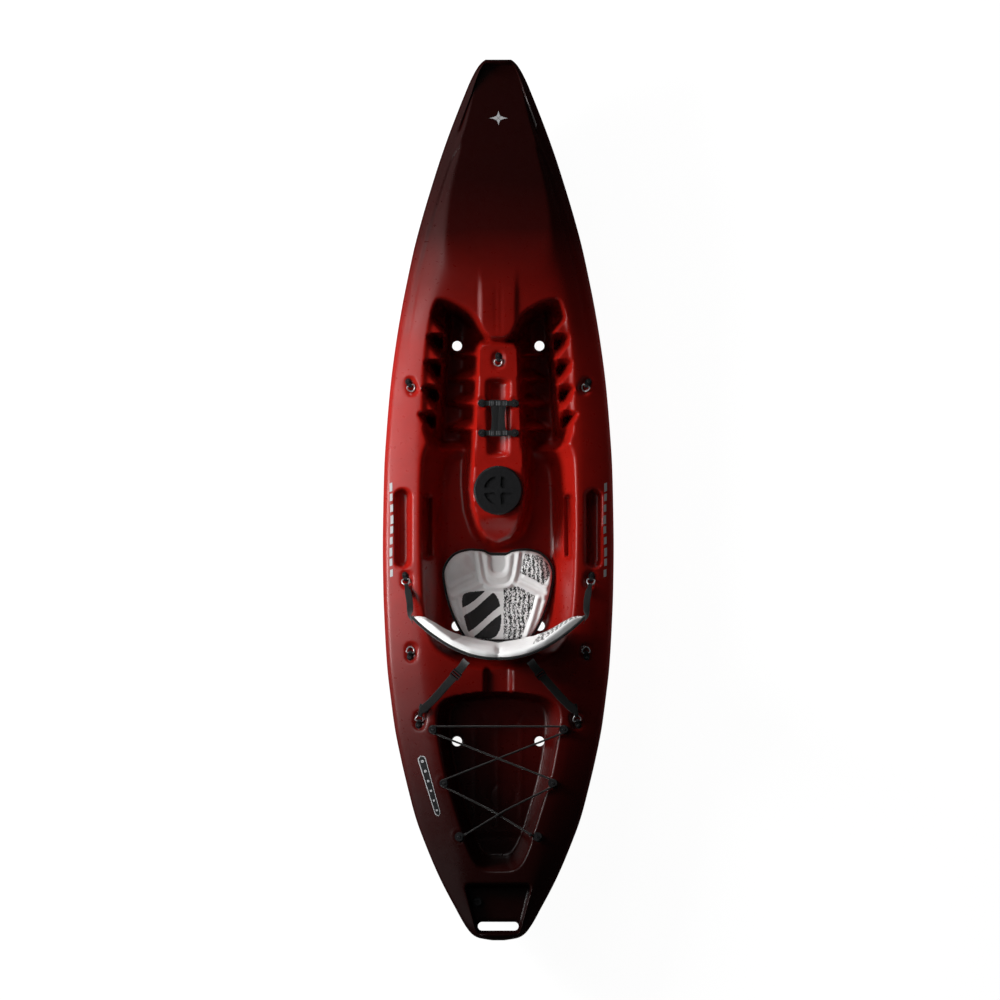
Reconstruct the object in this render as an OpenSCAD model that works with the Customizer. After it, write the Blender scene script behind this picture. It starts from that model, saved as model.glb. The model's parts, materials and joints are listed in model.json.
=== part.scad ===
// Sit-on-top kayak. X to starboard, Y to the bow, Z up, millimetres.
// The hull rests on Z = 0 and its ends are the same distance from Y = 0.

/* [Hull] */
// overall length
hull_len = 2687; // [2400:1:3200]
// overall beam
hull_beam = 705; // [620:1:800]
// wall of the moulded shell
wall = 4.4; // [3.5:0.1:8]
// depth of the grooves between keel and side runners
groove = 14; // [4:1:24]
// height of the deck crest amidships
crest_h = 232; // [200:1:270]

/* [Cockpit] */
// height of the footwell floor
foot_z = 52; // [40:1:80]
// height of the seat well floor
seat_z = 82; // [60:1:110]
// height of the console under the hatch
console_z = 205; // [180:1:225]
// reach of each foot-brace step
step_reach = 34; // [15:1:45]
// radius of the bottle trough
trough_r = 38; // [30:1:44]

/* [Tank well] */
// height of the tank well floor
tank_z = 122; // [90:1:150]
// radius of a scupper tube bore
scupper_r = 15; // [10:0.5:20]
// diameter of the bungee cord
cord_d = 6; // [4:0.5:8]

/* [Hatch] */
// radius of the hull opening
hatch_hole_r = 64; // [50:0.5:70]
// radius of the rim flange
rim_r = 75; // [70:0.5:80]
// depth of the drop-in bucket
bucket_h = 118; // [80:1:130]

/* [Deck rings] */
// radius of the ring wire
ring_wire = 2.1; // [1.5:0.1:3]
// half width of a ring at its bar
ring_half = 12; // [9:0.5:15]

/* [Seat] */
// thickness of the seat pad
pad_t = 26; // [15:1:40]
// height of the backrest top
back_top = 392; // [340:1:440]
// width of the rear strap webbing
web_w = 25; // [20:1:38]
// width of the front strap webbing
front_w = 20; // [15:1:30]

/* [Hidden] */
e = 0.01;
kl = hull_len / 2687;
kb = hull_beam / 705;

// table of offsets: station, half beam at the widest line
OFF = [[-1343.5, 16], [-1336, 59], [-1324, 80], [-1305, 96], [-1244, 131], [-1153, 178.4], [-1061, 218],
  [-970, 251.6], [-878, 276], [-787, 297.4], [-695, 315.7], [-604, 328], [-512, 338.6], [-390, 346.2],
  [-268, 350.8], [-146, 352.3], [-24, 350.8], [98, 347.7], [220, 340], [342, 329.4], [464, 314],
  [586, 294], [677, 276], [769, 256], [860, 231.8], [952, 204.4], [1043, 175.4], [1104, 154], [1165, 131],
  [1226, 106.8], [1287, 80.8], [1324, 59.5], [1336, 48.8], [1343.5, 39]];
function hw(y) = kb * lookup(y / kl, OFF);
function zc(y) = crest_h + lookup(y, [[-1343, 4], [-1171, 12], [-900, 3], [-600, -2], [-300, -4], [0, -2], [300, 7], [500, 27], [620, 46], [800, 72], [1080, 104], [1230, 112], [1343, 113]]);
function drop(y) = lookup(y, [[-1343, 16], [-1171, 30], [-600, 34], [300, 36], [620, 46], [900, 58], [1100, 62], [1250, 46], [1343, 14]]);
function zs(y) = zc(y) - drop(y);
function zg(y) = zs(y) - lookup(y, [[-1343, 18], [0, 19], [900, 22], [1250, 26], [1343, 24]]);
function sh(y) = min(0.3 * hw(y), lookup(y, [[-1343, 12], [-900, 17], [0, 17], [600, 13], [900, 14], [1060, 30], [1250, 24], [1343, 10]]));
function zb(y) = lookup(y, [[-1343.5, 172], [-1320, 140], [-1290, 112], [-1230, 76], [-1150, 44], [-1050, 22], [-900, 7], [-700, 0], [640, 0], [780, 8], [920, 28], [1050, 62], [1150, 104], [1230, 150], [1290, 196], [1325, 232], [1343.5, 262]]);
function xc(y) = min(0.72 * (hw(y) - sh(y)), lookup(y, [[-1343, 50], [-1171, 103], [-1025, 128], [-830, 180], [-616, 208], [-460, 222], [-122, 232], [200, 234], [500, 214], [620, 196], [1080, 70], [1343, 20]]));
function crown(y) = lookup(y, [[-1343, 2], [-600, 1], [400, 2], [620, 8], [900, 12], [1200, 8], [1343, 2]]);
function gr(y) = groove * lookup(y, [[-1343, 0], [-1000, 0.3], [-700, 1], [600, 1], [1000, 0.3], [1343, 0]]);
// deck height at any point
function deck(x, y) = let (a = abs(x), w = hw(y), s = sh(y), c = xc(y), m = (w - s + c) / 2)
  lookup(a, [[0, zc(y) + crown(y)], [c / 2, zc(y) + 0.75 * crown(y)], [c, zc(y)], [m, zs(y) + 0.6 * drop(y)], [w - s, zs(y)], [w - 0.45 * s, zg(y) + 0.6 * (zs(y) - zg(y))], [w, zg(y)]]);

// half section from keel to deck centre: x, z, and the direction of the inner offset
function half(y) = let (w = hw(y), b = zb(y), g = gr(y), h = zg(y) - b, s = sh(y), c = xc(y), d = zs(y) - zg(y)) [
  [0, b, 0, 1], [0.17 * w, b, 0, 1], [0.22 * w, b + g, 0, 1], [0.33 * w, b + g, 0, 1], [0.4 * w, b, 0, 1], [0.62 * w, b, 0, 1],
  [0.82 * w, b + 0.09 * h, -0.4, 1], [0.93 * w, b + 0.27 * h, -0.9, 0.5], [0.98 * w, b + 0.6 * h, -1, 0.1],
  [w, zg(y), -1, 0], [w - 0.45 * s, zg(y) + 0.6 * d, -0.8, -0.7], [w - s, zs(y), -0.4, -1],
  [(w - s + c) / 2, zs(y) + 0.6 * drop(y), -0.1, -1], [c, zc(y), 0, -1], [c / 2, zc(y) + 0.75 * crown(y), 0, -1], [0, zc(y) + crown(y), 0, -1]];
function ring_of(y, t) = let (q = half(y), n = len(q)) concat(
  [for (i = [0:n - 1]) [max(q[i][0] + t * q[i][2], 0), y, q[i][1] + t * q[i][3]]],
  [for (i = [n - 2:-1:1]) [-max(q[i][0] + t * q[i][2], 0), y, q[i][1] + t * q[i][3]]]);

// faces turned outward whatever the order of the sections
module solid(p, f) {
  v = [for (q = f) p[q[0]] * cross(p[q[1]], p[q[2]])] * [for (q = f) 1];
  polyhedron(p, v > 0 ? [for (q = f) [q[0], q[2], q[1]]] : f);
}
// a solid through closed sections of the same number of points
module skin(secs) {
  m = len(secs); n = len(secs[0]);
  mid = function (s) [for (k = [0:2]) [for (p = s) p[k]] * [for (p = s) 1 / n]];
  solid([for (s = secs, p = s) p, mid(secs[0]), mid(secs[m - 1])],
    concat([for (i = [0:m - 2], j = [0:n - 1]) each let (a = i * n + j, b = i * n + (j + 1) % n, c = a + n, d = b + n) [[a, b, d], [a, d, c]]],
      [for (j = [0:n - 1]) [m * n, (j + 1) % n, j]], [for (j = [0:n - 1]) [m * n + 1, (m - 1) * n + j, (m - 1) * n + (j + 1) % n]]));
}
// a closed tube of sections that joins its own start
module loop(secs) {
  m = len(secs); n = len(secs[0]);
  solid([for (s = secs, p = s) p],
    [for (i = [0:m - 1], j = [0:n - 1]) each let (i2 = (i + 1) % m, a = i * n + j, b = i * n + (j + 1) % n, c = i2 * n + j, d = i2 * n + (j + 1) % n) [[a, b, d], [a, d, c]]]);
}
function unit(v) = v / max(norm(v), 1e-9);
function tang(p, i, shut) = let (n = len(p)) unit(shut ? p[(i + 1) % n] - p[(i + n - 1) % n] : p[min(i + 1, n - 1)] - p[max(i - 1, 0)]);
function frame_of(t, up) = let (s = unit(cross(t, up))) [s, cross(s, t)];
// round section at each point of a path
function rounds(p, r, n = 8, shut = false, up = [0.03, 0.05, 1]) = [for (i = [0:len(p) - 1]) let (f = frame_of(tang(p, i, shut), up)) [for (j = [0:n - 1]) p[i] + r * (cos(360 * j / n) * f[0] + sin(360 * j / n) * f[1])]];
// flat section across a side direction, thickness to the outside
function flats(p, wd, t, side) = [for (i = [0:len(p) - 1]) let (w = is_list(wd) ? wd[min(i, len(wd) - 1)] : wd, g = is_function(side) ? unit(side(i / (len(p) - 1))) : side, n = unit(cross(g, tang(p, i, false))))
  [p[i] - w / 2 * g, p[i] + w / 2 * g, p[i] + w / 2 * g + t * n, p[i] - w / 2 * g + t * n]];
function mir(p) = concat(p, [for (i = [len(p) - 1:-1:0]) if (p[i][0] > e) [-p[i][0], p[i][1]]]);
// a pit with sloped walls between two outlines
module pit(top, z1, low, z0, z2 = 0) skin([for (q = concat([[low, z0], [top, z1]], z2 > z1 ? [[top, z2]] : [])) [for (p = q[0]) [p[0], p[1], q[1]]]]);

module sides() for (s = [1, -1]) scale([s, 1, 1]) children();
module disc(x, y, z, r, h, n = 20) translate([x, y, z]) cylinder(r = r, h = h, $fn = n);

/* cockpit outlines, starboard half */
FW_T = [[0, 500], [31, 500], [45, 522], [62, 570], [109, 601], [167, 627], [203, 622], [226, 494], [241, 367], [247, 205], [226, 178], [150, -160]];
FW_B = [[0, 470], [31, 470], [60, 500], [90, 535], [112, 556], [150, 572], [168, 566], [182, 494], [190, 367], [192, 205], [180, 178], [130, 175]];
SW_T = [[0, 300], [120, 260], [226, 175], [236, 60], [238, -122], [233, -305], [217, -410], [179, -466], [89, -511], [0, -518]];
SW_B = [[0, 160], [90, 150], [160, 120], [172, 60], [174, -122], [170, -305], [158, -395], [125, -440], [60, -462], [0, -466]];
TW_T = [[0, -586], [44, -587], [145, -602], [180, -622], [190, -660], [186, -700], [163, -833], [132, -933], [107, -1010], [92, -1064], [59, -1125], [0, -1128]];
TW_B = [[0, -600], [44, -601], [125, -612], [145, -632], [151, -662], [148, -740], [124, -863], [98, -950], [78, -1010], [60, -1055], [38, -1085], [0, -1086]];
SCUP = [[125.6, 470, foot_z], [127, -384, seat_z], [125.6, -736, tank_z]];
// console outline: top face and foot
CO_T = [[0, 476], [52, 476], [60, 466], [66, 300], [77, 100], [81, 40], [77, -20], [59, -78], [37, -107], [0, -124]];
CO_B = [[0, 560], [92, 560], [100, 540], [106, 300], [116, 150], [118, 60], [108, -40], [84, -110], [50, -145], [0, -160]];
// deck fittings: x, y, height of the seat, turn of the ring direction
PAD = [[0, 436, 214, -90], [273, 357, 0, -115], [-273, 357, 0, -65], [284, -233, 0, -97], [-284, -233, 0, -83],
  [269, -475, 0, 94], [-269, -475, 0, 86], [243, -683, 0, 100], [-243, -683, 0, 80]];
function pad_z(i) = i == 0 ? PAD[0][2] : deck(PAD[i][0], PAD[i][1]) - 7.5;
HOOK = [[200, -700], [166, -864], [119, -1027]];
function hook_z(i) = deck(HOOK[i][0], HOOK[i][1]) - 2.4;
rim_screw_r = 70.8;
ANCH = [[50, 295.2], [50, 204.4]];
anch_z = 207;
pan_z = 205;

module cone_pit(x, y, z, r, n = 12) translate([x, y, z]) cylinder(r1 = r, r2 = r + 14, h = 60, $fn = n);
// oblong outline of n points from 0 to l along X
function oblong(l, r, n, z) = [for (j = [0:n - 1]) let (a = 360 * (j + 0.5) / n - 90) [(cos(a) > 0 ? l : 0) + r * cos(a), r * sin(a), z]];
module pad_pit(i, k = 0) translate([PAD[i][0], PAD[i][1], pad_z(i) - k]) rotate(PAD[i][3]) let (n = k > 0 ? 8 : 12) skin([oblong(20, 15.4 + k, n, 0), oblong(20, 23.5 + k, n, 22)]);

function half_of(g) = [for (q = g) q[0] < 1 ? [-2, q[1]] : q];
module cockpit_cut(k = 0) {
  g = function (p) half_of([for (q = p) [q[0] < 1 ? 0 : q[0] + (q[1] < 400 || q[0] > 180 ? k : q[0] < 100 ? -k : 0), q[1] + (q[1] > 250 ? k : 0)]]);
  h = function (p) half_of([for (q = p) [q[0] < 1 ? 0 : q[0] + k, q[1] - (q[1] < 0 ? k : 0)]]);
  sides() {
    pit(concat([[-2, -160]], g(FW_T)), 330, concat([[-2, 175]], g(FW_B)), foot_z - k);
    pit(h(SW_T), crest_h, h(SW_B), seat_z - k, crest_h + 60);
  }
}
// foot-brace wedges: flat top, sloped face to the stern
module foot_steps(k = 0) intersection() {
  sides() for (i = [0:3]) let (y = 506 - 78.4 * i, x = 214 + 8.3 * i, r = step_reach + 9 - k)
    skin([[[x + 40, y - 52 + k, foot_z - 6], [x - r - 10 + k, y - 50 + k, foot_z - 6], [x - r - 6 + k, y - 38, foot_z - 6], [x - 14, y + 66 - k, foot_z - 6], [x + 40, y + 66 - k, foot_z - 6]],
      [[x + 40, y + k, 198 - k], [x - r + k, y + k, 198 - k], [x - r + 4 + k, y + 8, 198 - k], [x - 8, y + 52 - k, 198 - k], [x + 40, y + 56 - k, 198 - k]]]);
  sides() translate([0, 100, 0]) cube([hull_beam / 2 - 80 - k, 500, 300]);
}
module tank_cut(k = 0) {
  g = function (p) half_of([for (q = p) [q[0] < 1 ? 0 : q[0] + k, q[1] + (q[1] > -640 ? k : q[1] < -1080 ? -k : 0)]]);
  sides() {
    pit(g(TW_T), crest_h, g(TW_B), tank_z - k, crest_h + 60);
  }
}
module console(k = 0) {
  t = [for (q = CO_T) [q[0] < 1 ? 0 : q[0] - k, q[1] - (q[1] > 470 ? -k : 0) + (q[1] < -80 ? k : 0)]];
  b = [for (q = CO_B) [q[0] < 1 ? 0 : q[0] - k, q[1] + (q[1] < -80 ? k : 0)]];
  m = [for (i = [0:len(t) - 1]) [0.32 * b[i][0] + 0.68 * t[i][0], 0.32 * b[i][1] + 0.68 * t[i][1]]];
  intersection() {
    skin([[for (p = mir(b)) [p[0], p[1], 40]], [for (p = mir(m)) [p[0], p[1], 112]], [for (p = mir(t)) [p[0], p[1], 226]]]);
    translate([-200, 0, 0]) rotate([90, 0, 90]) linear_extrude(400)
      polygon([for (p = [[-200, 0], [-200, 140], [-130, 160], [-90, 178], [-52, console_z], [112, console_z], [480, 222], [700, 232], [700, 0]]) [p[0], p[1] - (p[1] > 1 ? k : 0)]]);
  }
}
// heel ribs on the console sides
module heel_ribs() sides() for (i = [0:3]) let (y = 430 - 74 * i, x = 74 + 5 * i)
  skin([[[x, y, foot_z - 4], [x + 64, y - 4, foot_z - 4], [x + 58, y + 14, foot_z - 4], [x, y + 56, foot_z - 4]],
    [[x - 10, y + 12, foot_z + 92], [x + 20, y + 10, foot_z + 62], [x + 18, y + 18, foot_z + 62], [x - 10, y + 34, foot_z + 92]]]);
module slot_pit(x, y0, y1, w, z, h, lean = 6, k = 0) translate([x, y0 + w, z - k]) rotate(90) let (n = k > 0 ? 8 : 16) skin([oblong(y1 - y0 - 2 * w, w + k, n, 0), oblong(y1 - y0 - 2 * w, w + lean + k, n, h)]);
module hand_cuts(k = 0) sides() {
  slot_pit(292, -201, 27, 17, 178, 70, 6, k);
  slot_pit(213, -176, 14, 7, 132, 120, 4, k);
}
module bow_cut(k = 0) skin([[[-30 - k, 1306 + k, 300 - k], [30 + k, 1306 + k, 300 - k], [42 + k, 1262 - k, 300 - k], [-42 - k, 1262 - k, 300 - k]],
  [[-33 - k, 1314 + k, 370], [33 + k, 1314 + k, 370], [50 + k, 1254 - k, 370], [-50 - k, 1254 - k, 370]]]);
module stern_cut(k = 0) skin([[[-94 - k, -1182 + k, pan_z - k], [94 + k, -1182 + k, pan_z - k], [60 + k, -1318 - k, pan_z - k], [-60 - k, -1318 - k, pan_z - k]],
  [[-106 - k, -1168 + k, 262], [106 + k, -1168 + k, 262], [70 + k, -1326 - k, 262], [-70 - k, -1326 - k, 262]]]);
module stern_slot() translate([-49, -1300, 60]) skin([oblong(98, 13.2, 16, 0), oblong(98, 13.2, 16, 240)]);
module trough(k = 0) intersection() {
  translate([0, 128 - k, 222 + trough_r - 34]) rotate([-90, 0, 0]) cylinder(r = trough_r + k, h = 244 + 2 * k, $fn = k > 0 ? 20 : 40);
  translate([-36 - k, 100, 150]) cube([72 + 2 * k, 300, 200]);
}
module fore_panel() skin([for (y = [486, 500, 620, 700, 762]) [[-57, y, deck(0, y) - 20], [57, y, deck(0, y) - 20], [54, y, deck(50, y) + 5], [-54, y, deck(50, y) + 5]]]);
module fore_panel2() skin([for (y = [744, 770, 850, 950, 1020, 1086]) [[-43, y, deck(0, y) - 20], [43, y, deck(0, y) - 20], [41, y, deck(40, y) + 5], [-41, y, deck(40, y) + 5]]]);
module seat_channel(k = 0) skin([for (y = [-505 + k, -595 - k]) [[-34 - k, y, crest_h - 20 - k], [34 + k, y, crest_h - 20 - k], [42 + k, y, crest_h + 30], [-42 - k, y, crest_h + 30]]]);
module hatch_flat() disc(0, 29.6, 150, 79, console_z - 150, 40);
STN = concat([-1343.5, -1336, -1324, -1305], [for (y = [-1268:64:1260]) y], [1296, 1324, 1336, 1343.5]);
INN = [for (y = [-1250:92:1234]) y];

module shell_body() {
  difference() {
    union() {
      difference() {
        union() { skin([for (y = STN) ring_of(y, 0)]); fore_panel(); fore_panel2(); }
        cockpit_cut(); tank_cut(); seat_channel(); hand_cuts(); bow_cut(); stern_cut(); stern_slot();
        for (i = [1:8]) pad_pit(i);
        sides() for (i = [0:2]) cone_pit(HOOK[i][0], HOOK[i][1], hook_z(i), 19);
      }
      difference() {
        union() { console(); hatch_flat(); heel_ribs(); foot_steps(); }
        trough(); pad_pit(0);
        sides() for (a = ANCH) cone_pit(a[0], a[1], anch_z, 16);
        disc(0, 29.6, console_z, 90, 60, 40);
      }
      // floor rails of the tank well
      for (x = [-70, 0, 70]) translate([x - 5, -1000, tank_z - 2]) cube([10, 330, 6]);
    }
    difference() {
      skin([for (y = concat(INN, [1290])) ring_of(y, wall)]);
      difference() {
        union() { cockpit_cut(wall); }
        difference() { union() { console(wall); disc(0, 29.6, 100, 79 - wall, console_z - 100 - wall, 40); } trough(wall); pad_pit(0, wall);
          sides() for (a = ANCH) { disc(a[0], a[1], anch_z - wall, 17.5 + wall, 60, 12); disc(a[0], a[1], anch_z - 22, 8, 60, 6); }
          disc(0, 441, pad_z(0) - 22, 8, 60, 6); }
      }
      tank_cut(wall); seat_channel(wall); hand_cuts(wall); bow_cut(wall); stern_cut(wall);
      translate([-100, -1400, 0]) cube([200, 160, 400]);
      for (i = [1:8]) { pad_pit(i, wall); disc(PAD[i][0] - 5 * cos(PAD[i][3]), PAD[i][1] - 5 * sin(PAD[i][3]), pad_z(i) - 22, 8, 40, 6); }
      sides() {
        for (i = [0:2]) { disc(HOOK[i][0], HOOK[i][1], hook_z(i) - wall, 21 + wall, 50, 12); disc(HOOK[i][0], HOOK[i][1], hook_z(i) - 22, 8, 40, 6); }
        for (s = SCUP) disc(s[0], s[1], -1, scupper_r + wall + 1, s[2], 16);
      }
      disc(-63, -1226, 180, 20, 100, 10);
    }
    disc(0, 29.6, 90, hatch_hole_r - 3, 140, 24);
    // pilot holes of the fittings
    for (i = [0:8]) disc(PAD[i][0] - 5 * cos(PAD[i][3]), PAD[i][1] - 5 * sin(PAD[i][3]), pad_z(i) - 16, 2.7, 40, 6);
    sides() {
      for (i = [0:2]) disc(HOOK[i][0], HOOK[i][1], hook_z(i) - 16, 2.7, 40, 6);
      for (a = ANCH) disc(a[0], a[1], anch_z - 16, 2.7, 40, 6);
    }
    for (i = [0:5]) translate([0, 29.6, 0]) rotate(30 + 60 * i) translate([rim_screw_r, 0, console_z - 14]) cylinder(r = 2, h = 30, $fn = 6);
  }
}
module kayak_hull() color([0.5, 0.05, 0.04]) difference() {
  resize([hull_beam_box, 2687 * kl, 0]) shell_body();
  sides() for (s = SCUP) translate([s[0], s[1], -5]) cylinder(r = scupper_r, h = s[2] + 40, $fn = 48);
  translate([0, 29.6, console_z - 60]) cylinder(r = hatch_hole_r, h = 100, $fn = 64);
  translate([-63, -1226, 150]) cylinder(r = 11, h = 100, $fn = 40);
}
hull_beam_box = 2 * max([for (y = STN) hw(y)]);

// local frame of a deck ring fitting
module at_pad(i) translate([PAD[i][0], PAD[i][1], pad_z(i)]) rotate(PAD[i][3]) children();
module screw(x, y, z, h, r = 2.2, head = 4.2) translate([x, y, z]) {
  translate([0, 0, -h]) cylinder(r = r, h = h + e, $fn = 16);
  difference() {
    cylinder(r1 = head, r2 = 0.7 * head, h = 2.4, $fn = 24);
    for (a = [0, 90]) rotate(a) translate([-0.55 * head, -0.4, 1.2]) cube([1.1 * head, 0.8, 4]);
  }
}
eye_x = 9;
eye_z = 7.5;
module padeye() difference() {
  union() {
    linear_extrude(3) polygon([for (t = [0:15:345]) [0.5 + 15 * cos(t), (9.2 - 1.9 * cos(t)) * sin(t)]]);
    translate([-4, 0, 3 - e]) cylinder(r1 = 9, r2 = 7, h = 2.2, $fn = 32);
    translate([eye_x, 5.5, eye_z]) rotate([90, 0, 0]) cylinder(r = 5.4, h = 11, $fn = 32);
    translate([eye_x - 5.4, -5.5, 1]) cube([10.8, 11, eye_z - 1]);
  }
  translate([eye_x, 20, eye_z]) rotate([90, 0, 0]) cylinder(r = ring_wire + 0.6, h = 40, $fn = 24);
  translate([-5, 0, -1]) cylinder(r = 2.5, h = 20, $fn = 16);
}
module padeyes() color([0.05, 0.05, 0.055]) for (i = [0:8]) at_pad(i) padeye();
module padeye_screws() color([0.3, 0.3, 0.32]) for (i = [0:8]) at_pad(i) screw(-5, 0, 5.2, 15);
// D-shaped ring about the eye, tipped by a
module dring(i, a) color([0.78, 0.78, 0.8]) at_pad(i) translate([eye_x, 0, eye_z]) rotate([0, a, 0])
  loop(rounds(concat([for (y = [-0.75:0.5:0.75]) [0, y * ring_half, 0]], [[1.2, ring_half - 0.6, 0]], [for (t = [8:16:172]) [2.5 + 16.5 * sin(t), ring_half * cos(t), 0]], [[1.2, 0.6 - ring_half, 0]]), ring_wire, 10, true));

// deck hooks of the bungee: triangular cap on a round neck
module hook() difference() {
  union() {
    cylinder(r = 14, h = 3.5, $fn = 36);
    cylinder(r = 6, h = 12, $fn = 32);
    translate([0, 0, 11]) linear_extrude(4) polygon([for (t = [0:12:348]) let (r = 11.4 + 1.9 * cos(3 * t)) r * [cos(t), sin(t)]]);
  }
  translate([0, 0, -1]) cylinder(r = 2.5, h = 30, $fn = 16);
}
module bungee_hooks() color([0.05, 0.05, 0.055]) sides() for (i = [0:2]) translate([HOOK[i][0], HOOK[i][1], hook_z(i)]) hook();
module bungee_hook_screws() color([0.3, 0.3, 0.32]) for (s = [1, -1]) for (i = [0:2]) screw(s * HOOK[i][0], HOOK[i][1], hook_z(i) + 15, 27);
wrap_r = 6.2 + cord_d / 2;
function hk(i, s) = [s * HOOK[i][0], HOOK[i][1], hook_z(i) + 7.4];
function ang(v) = atan2(v[1], v[0]);
function wrap(c, p, q, s) = let (a = ang(p - c) + s * 88, b0 = ang(q - c) - s * 88, b = s > 0 ? (b0 < a ? b0 + 360 : b0) : (b0 > a ? b0 - 360 : b0)) [for (k = [0:6]) let (t = a + (b - a) * k / 6) c + wrap_r * [cos(t), sin(t), 0]];
function way(a, b, t, dz) = a + t * (b - a) + [0, 0, dz];
function cord_path() = let (bl = hk(2, -1), br = hk(2, 1), ml = hk(1, -1), mr = hk(1, 1), tl = hk(0, -1), tr = hk(0, 1), up = [0, 0, 0.6 * cord_d]) concat(
  [bl + [13, 2.6, 0], way(bl, mr, 0.5, 0) + up], wrap(mr, bl, tl, 1), [way(mr, tl, 0.5, 0) + up], wrap(tl, mr, tr, -1),
  wrap(tr, tl, ml, -1), [way(tr, ml, 0.5, 0) - up], wrap(ml, tr, br, 1), [way(ml, br, 0.5, 0) - up, br + [-13, 2.6, 0]]);
module bungee_cord() color([0.07, 0.07, 0.07]) skin(rounds(cord_path(), cord_d / 2, 8));
module bungee_knots() color([0.07, 0.07, 0.07]) for (s = [1, -1]) let (b = hk(2, s) + [-13 * s, 2.6, 0], a = way(hk(1, -s), hk(2, s), 0.5, 0) - [0, 0, 0.6 * cord_d * s], u = unit(b - a))
  translate(b - 11 * u) rotate([0, acos(u[2]), atan2(u[1], u[0])]) for (z = [0, 2.4, 4.8]) translate([0, 0, z]) rotate_extrude($fn = 24) translate([cord_d / 2 + 1.3, 0]) circle(r = 1, $fn = 16);

// anchors and rubber strap over the bottle trough
module anchor() difference() {
  union() {
    cylinder(r = 12, h = 7, $fn = 32);
    cylinder(r = 5, h = 12, $fn = 32);
    translate([1, 0, 11.4]) linear_extrude(3) polygon([for (t = [0:12:348]) let (r = 10.4 + 1.5 * cos(3 * t)) r * [cos(t), sin(t)]]);
  }
  translate([0, 0, -1]) cylinder(r = 2.5, h = 30, $fn = 16);
}
module strap_anchors() color([0.05, 0.05, 0.055]) for (s = [1, -1]) scale([s, 1, 1]) for (a = ANCH) translate([a[0], a[1], anch_z]) anchor();
module strap_anchor_screws() color([0.3, 0.3, 0.32]) for (s = [1, -1]) for (a = ANCH) screw(s * a[0], a[1], anch_z + 14.4, 27);
module bottle_strap() color([0.12, 0.12, 0.125]) translate([0, 0, anch_z + 7.1]) difference() {
  union() {
    for (a = ANCH) {
      translate([0, a[1], 0]) linear_extrude(4) polygon(mir([[0, -10], [24, -10], [30, -7], [44, -8.5], [44, 8.5], [30, 7], [24, 10], [0, 10]]));
      for (s = [1, -1]) translate([s * a[0], a[1], 0]) cylinder(r = 10, h = 4, $fn = 32);
      for (x = [-26:5.2:26]) translate([x - 1, a[1] - 7, 3.9]) cube([2, 14, 1.2]);
    }
    linear_extrude(4) polygon([for (k = [0:12]) [20 + 5 * pow(abs(k - 6) / 6, 2), ANCH[1][1] + (ANCH[0][1] - ANCH[1][1]) * k / 12], for (k = [12:-1:0]) [-20 - 5 * pow(abs(k - 6) / 6, 2), ANCH[1][1] + (ANCH[0][1] - ANCH[1][1]) * k / 12]]);
  }
  for (s = [1, -1]) for (a = ANCH) translate([s * a[0], a[1], -1]) cylinder(r = 5.3, h = 8, $fn = 32);
}

// hatch
module at_hatch() translate([0, 29.6, console_z]) children();
module hatch_rim() color([0.05, 0.05, 0.055]) at_hatch() difference() {
  rotate_extrude($fn = 96) polygon([[hatch_hole_r - 5.5, -17], [hatch_hole_r - 0.5, -17], [hatch_hole_r - 0.5, 0], [rim_r, 0], [rim_r, 2.4], [rim_r - 1.2, 3.6], [hatch_hole_r - 2, 3.6], [hatch_hole_r - 2, 1], [hatch_hole_r - 5.5, 1]]);
  for (i = [0:5]) rotate(30 + 60 * i) translate([rim_screw_r, 0, -1]) cylinder(r = 2, h = 8, $fn = 16);
}
module hatch_rim_screws() color([0.3, 0.3, 0.32]) at_hatch() for (i = [0:5]) rotate(30 + 60 * i) screw(rim_screw_r, 0, 3.6, 15, 1.7, 3);
module hatch_bucket() color([0.09, 0.09, 0.1]) at_hatch() rotate_extrude($fn = 96) polygon([[0, -bucket_h], [hatch_hole_r - 11, -bucket_h], [hatch_hole_r - 8.5, 1.1 - 4], [hatch_hole_r - 8, 1.05], [hatch_hole_r - 2.4, 1.05], [hatch_hole_r - 2.4, 3.3], [hatch_hole_r - 10.4, 3.3], [hatch_hole_r - 13, 2.4 - bucket_h], [0, 2.4 - bucket_h]]);
module hatch_oring() color([0.03, 0.03, 0.03]) at_hatch() rotate_extrude($fn = 96) translate([66, 5.25]) circle(r = 1.6, $fn = 20);
lid_z = 6.9;
module hatch_lid() color([0.06, 0.06, 0.065]) at_hatch() difference() {
  rotate_extrude($fn = 96) polygon([[0, 4], [hatch_hole_r - 11.4, 4], [hatch_hole_r - 11, lid_z], [rim_r - 2, lid_z], [rim_r - 2, lid_z + 5], [rim_r - 5, lid_z + 7.5], [0, lid_z + 8.5]]);
  for (a = [45:90:315]) rotate(a) translate([0, 0, lid_z + 3]) intersection() {
    difference() { cylinder(r = 44, h = 9, $fn = 48); translate([0, 0, -1]) cylinder(r = 14, h = 12, $fn = 32); }
    translate([0, 0, -1]) linear_extrude(12) polygon([[8, 0], [60, -44], [60, 44]]);
  }
  translate([0, 0, 3]) cylinder(r = hatch_hole_r - 15, h = 2.4, $fn = 64);
}

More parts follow.
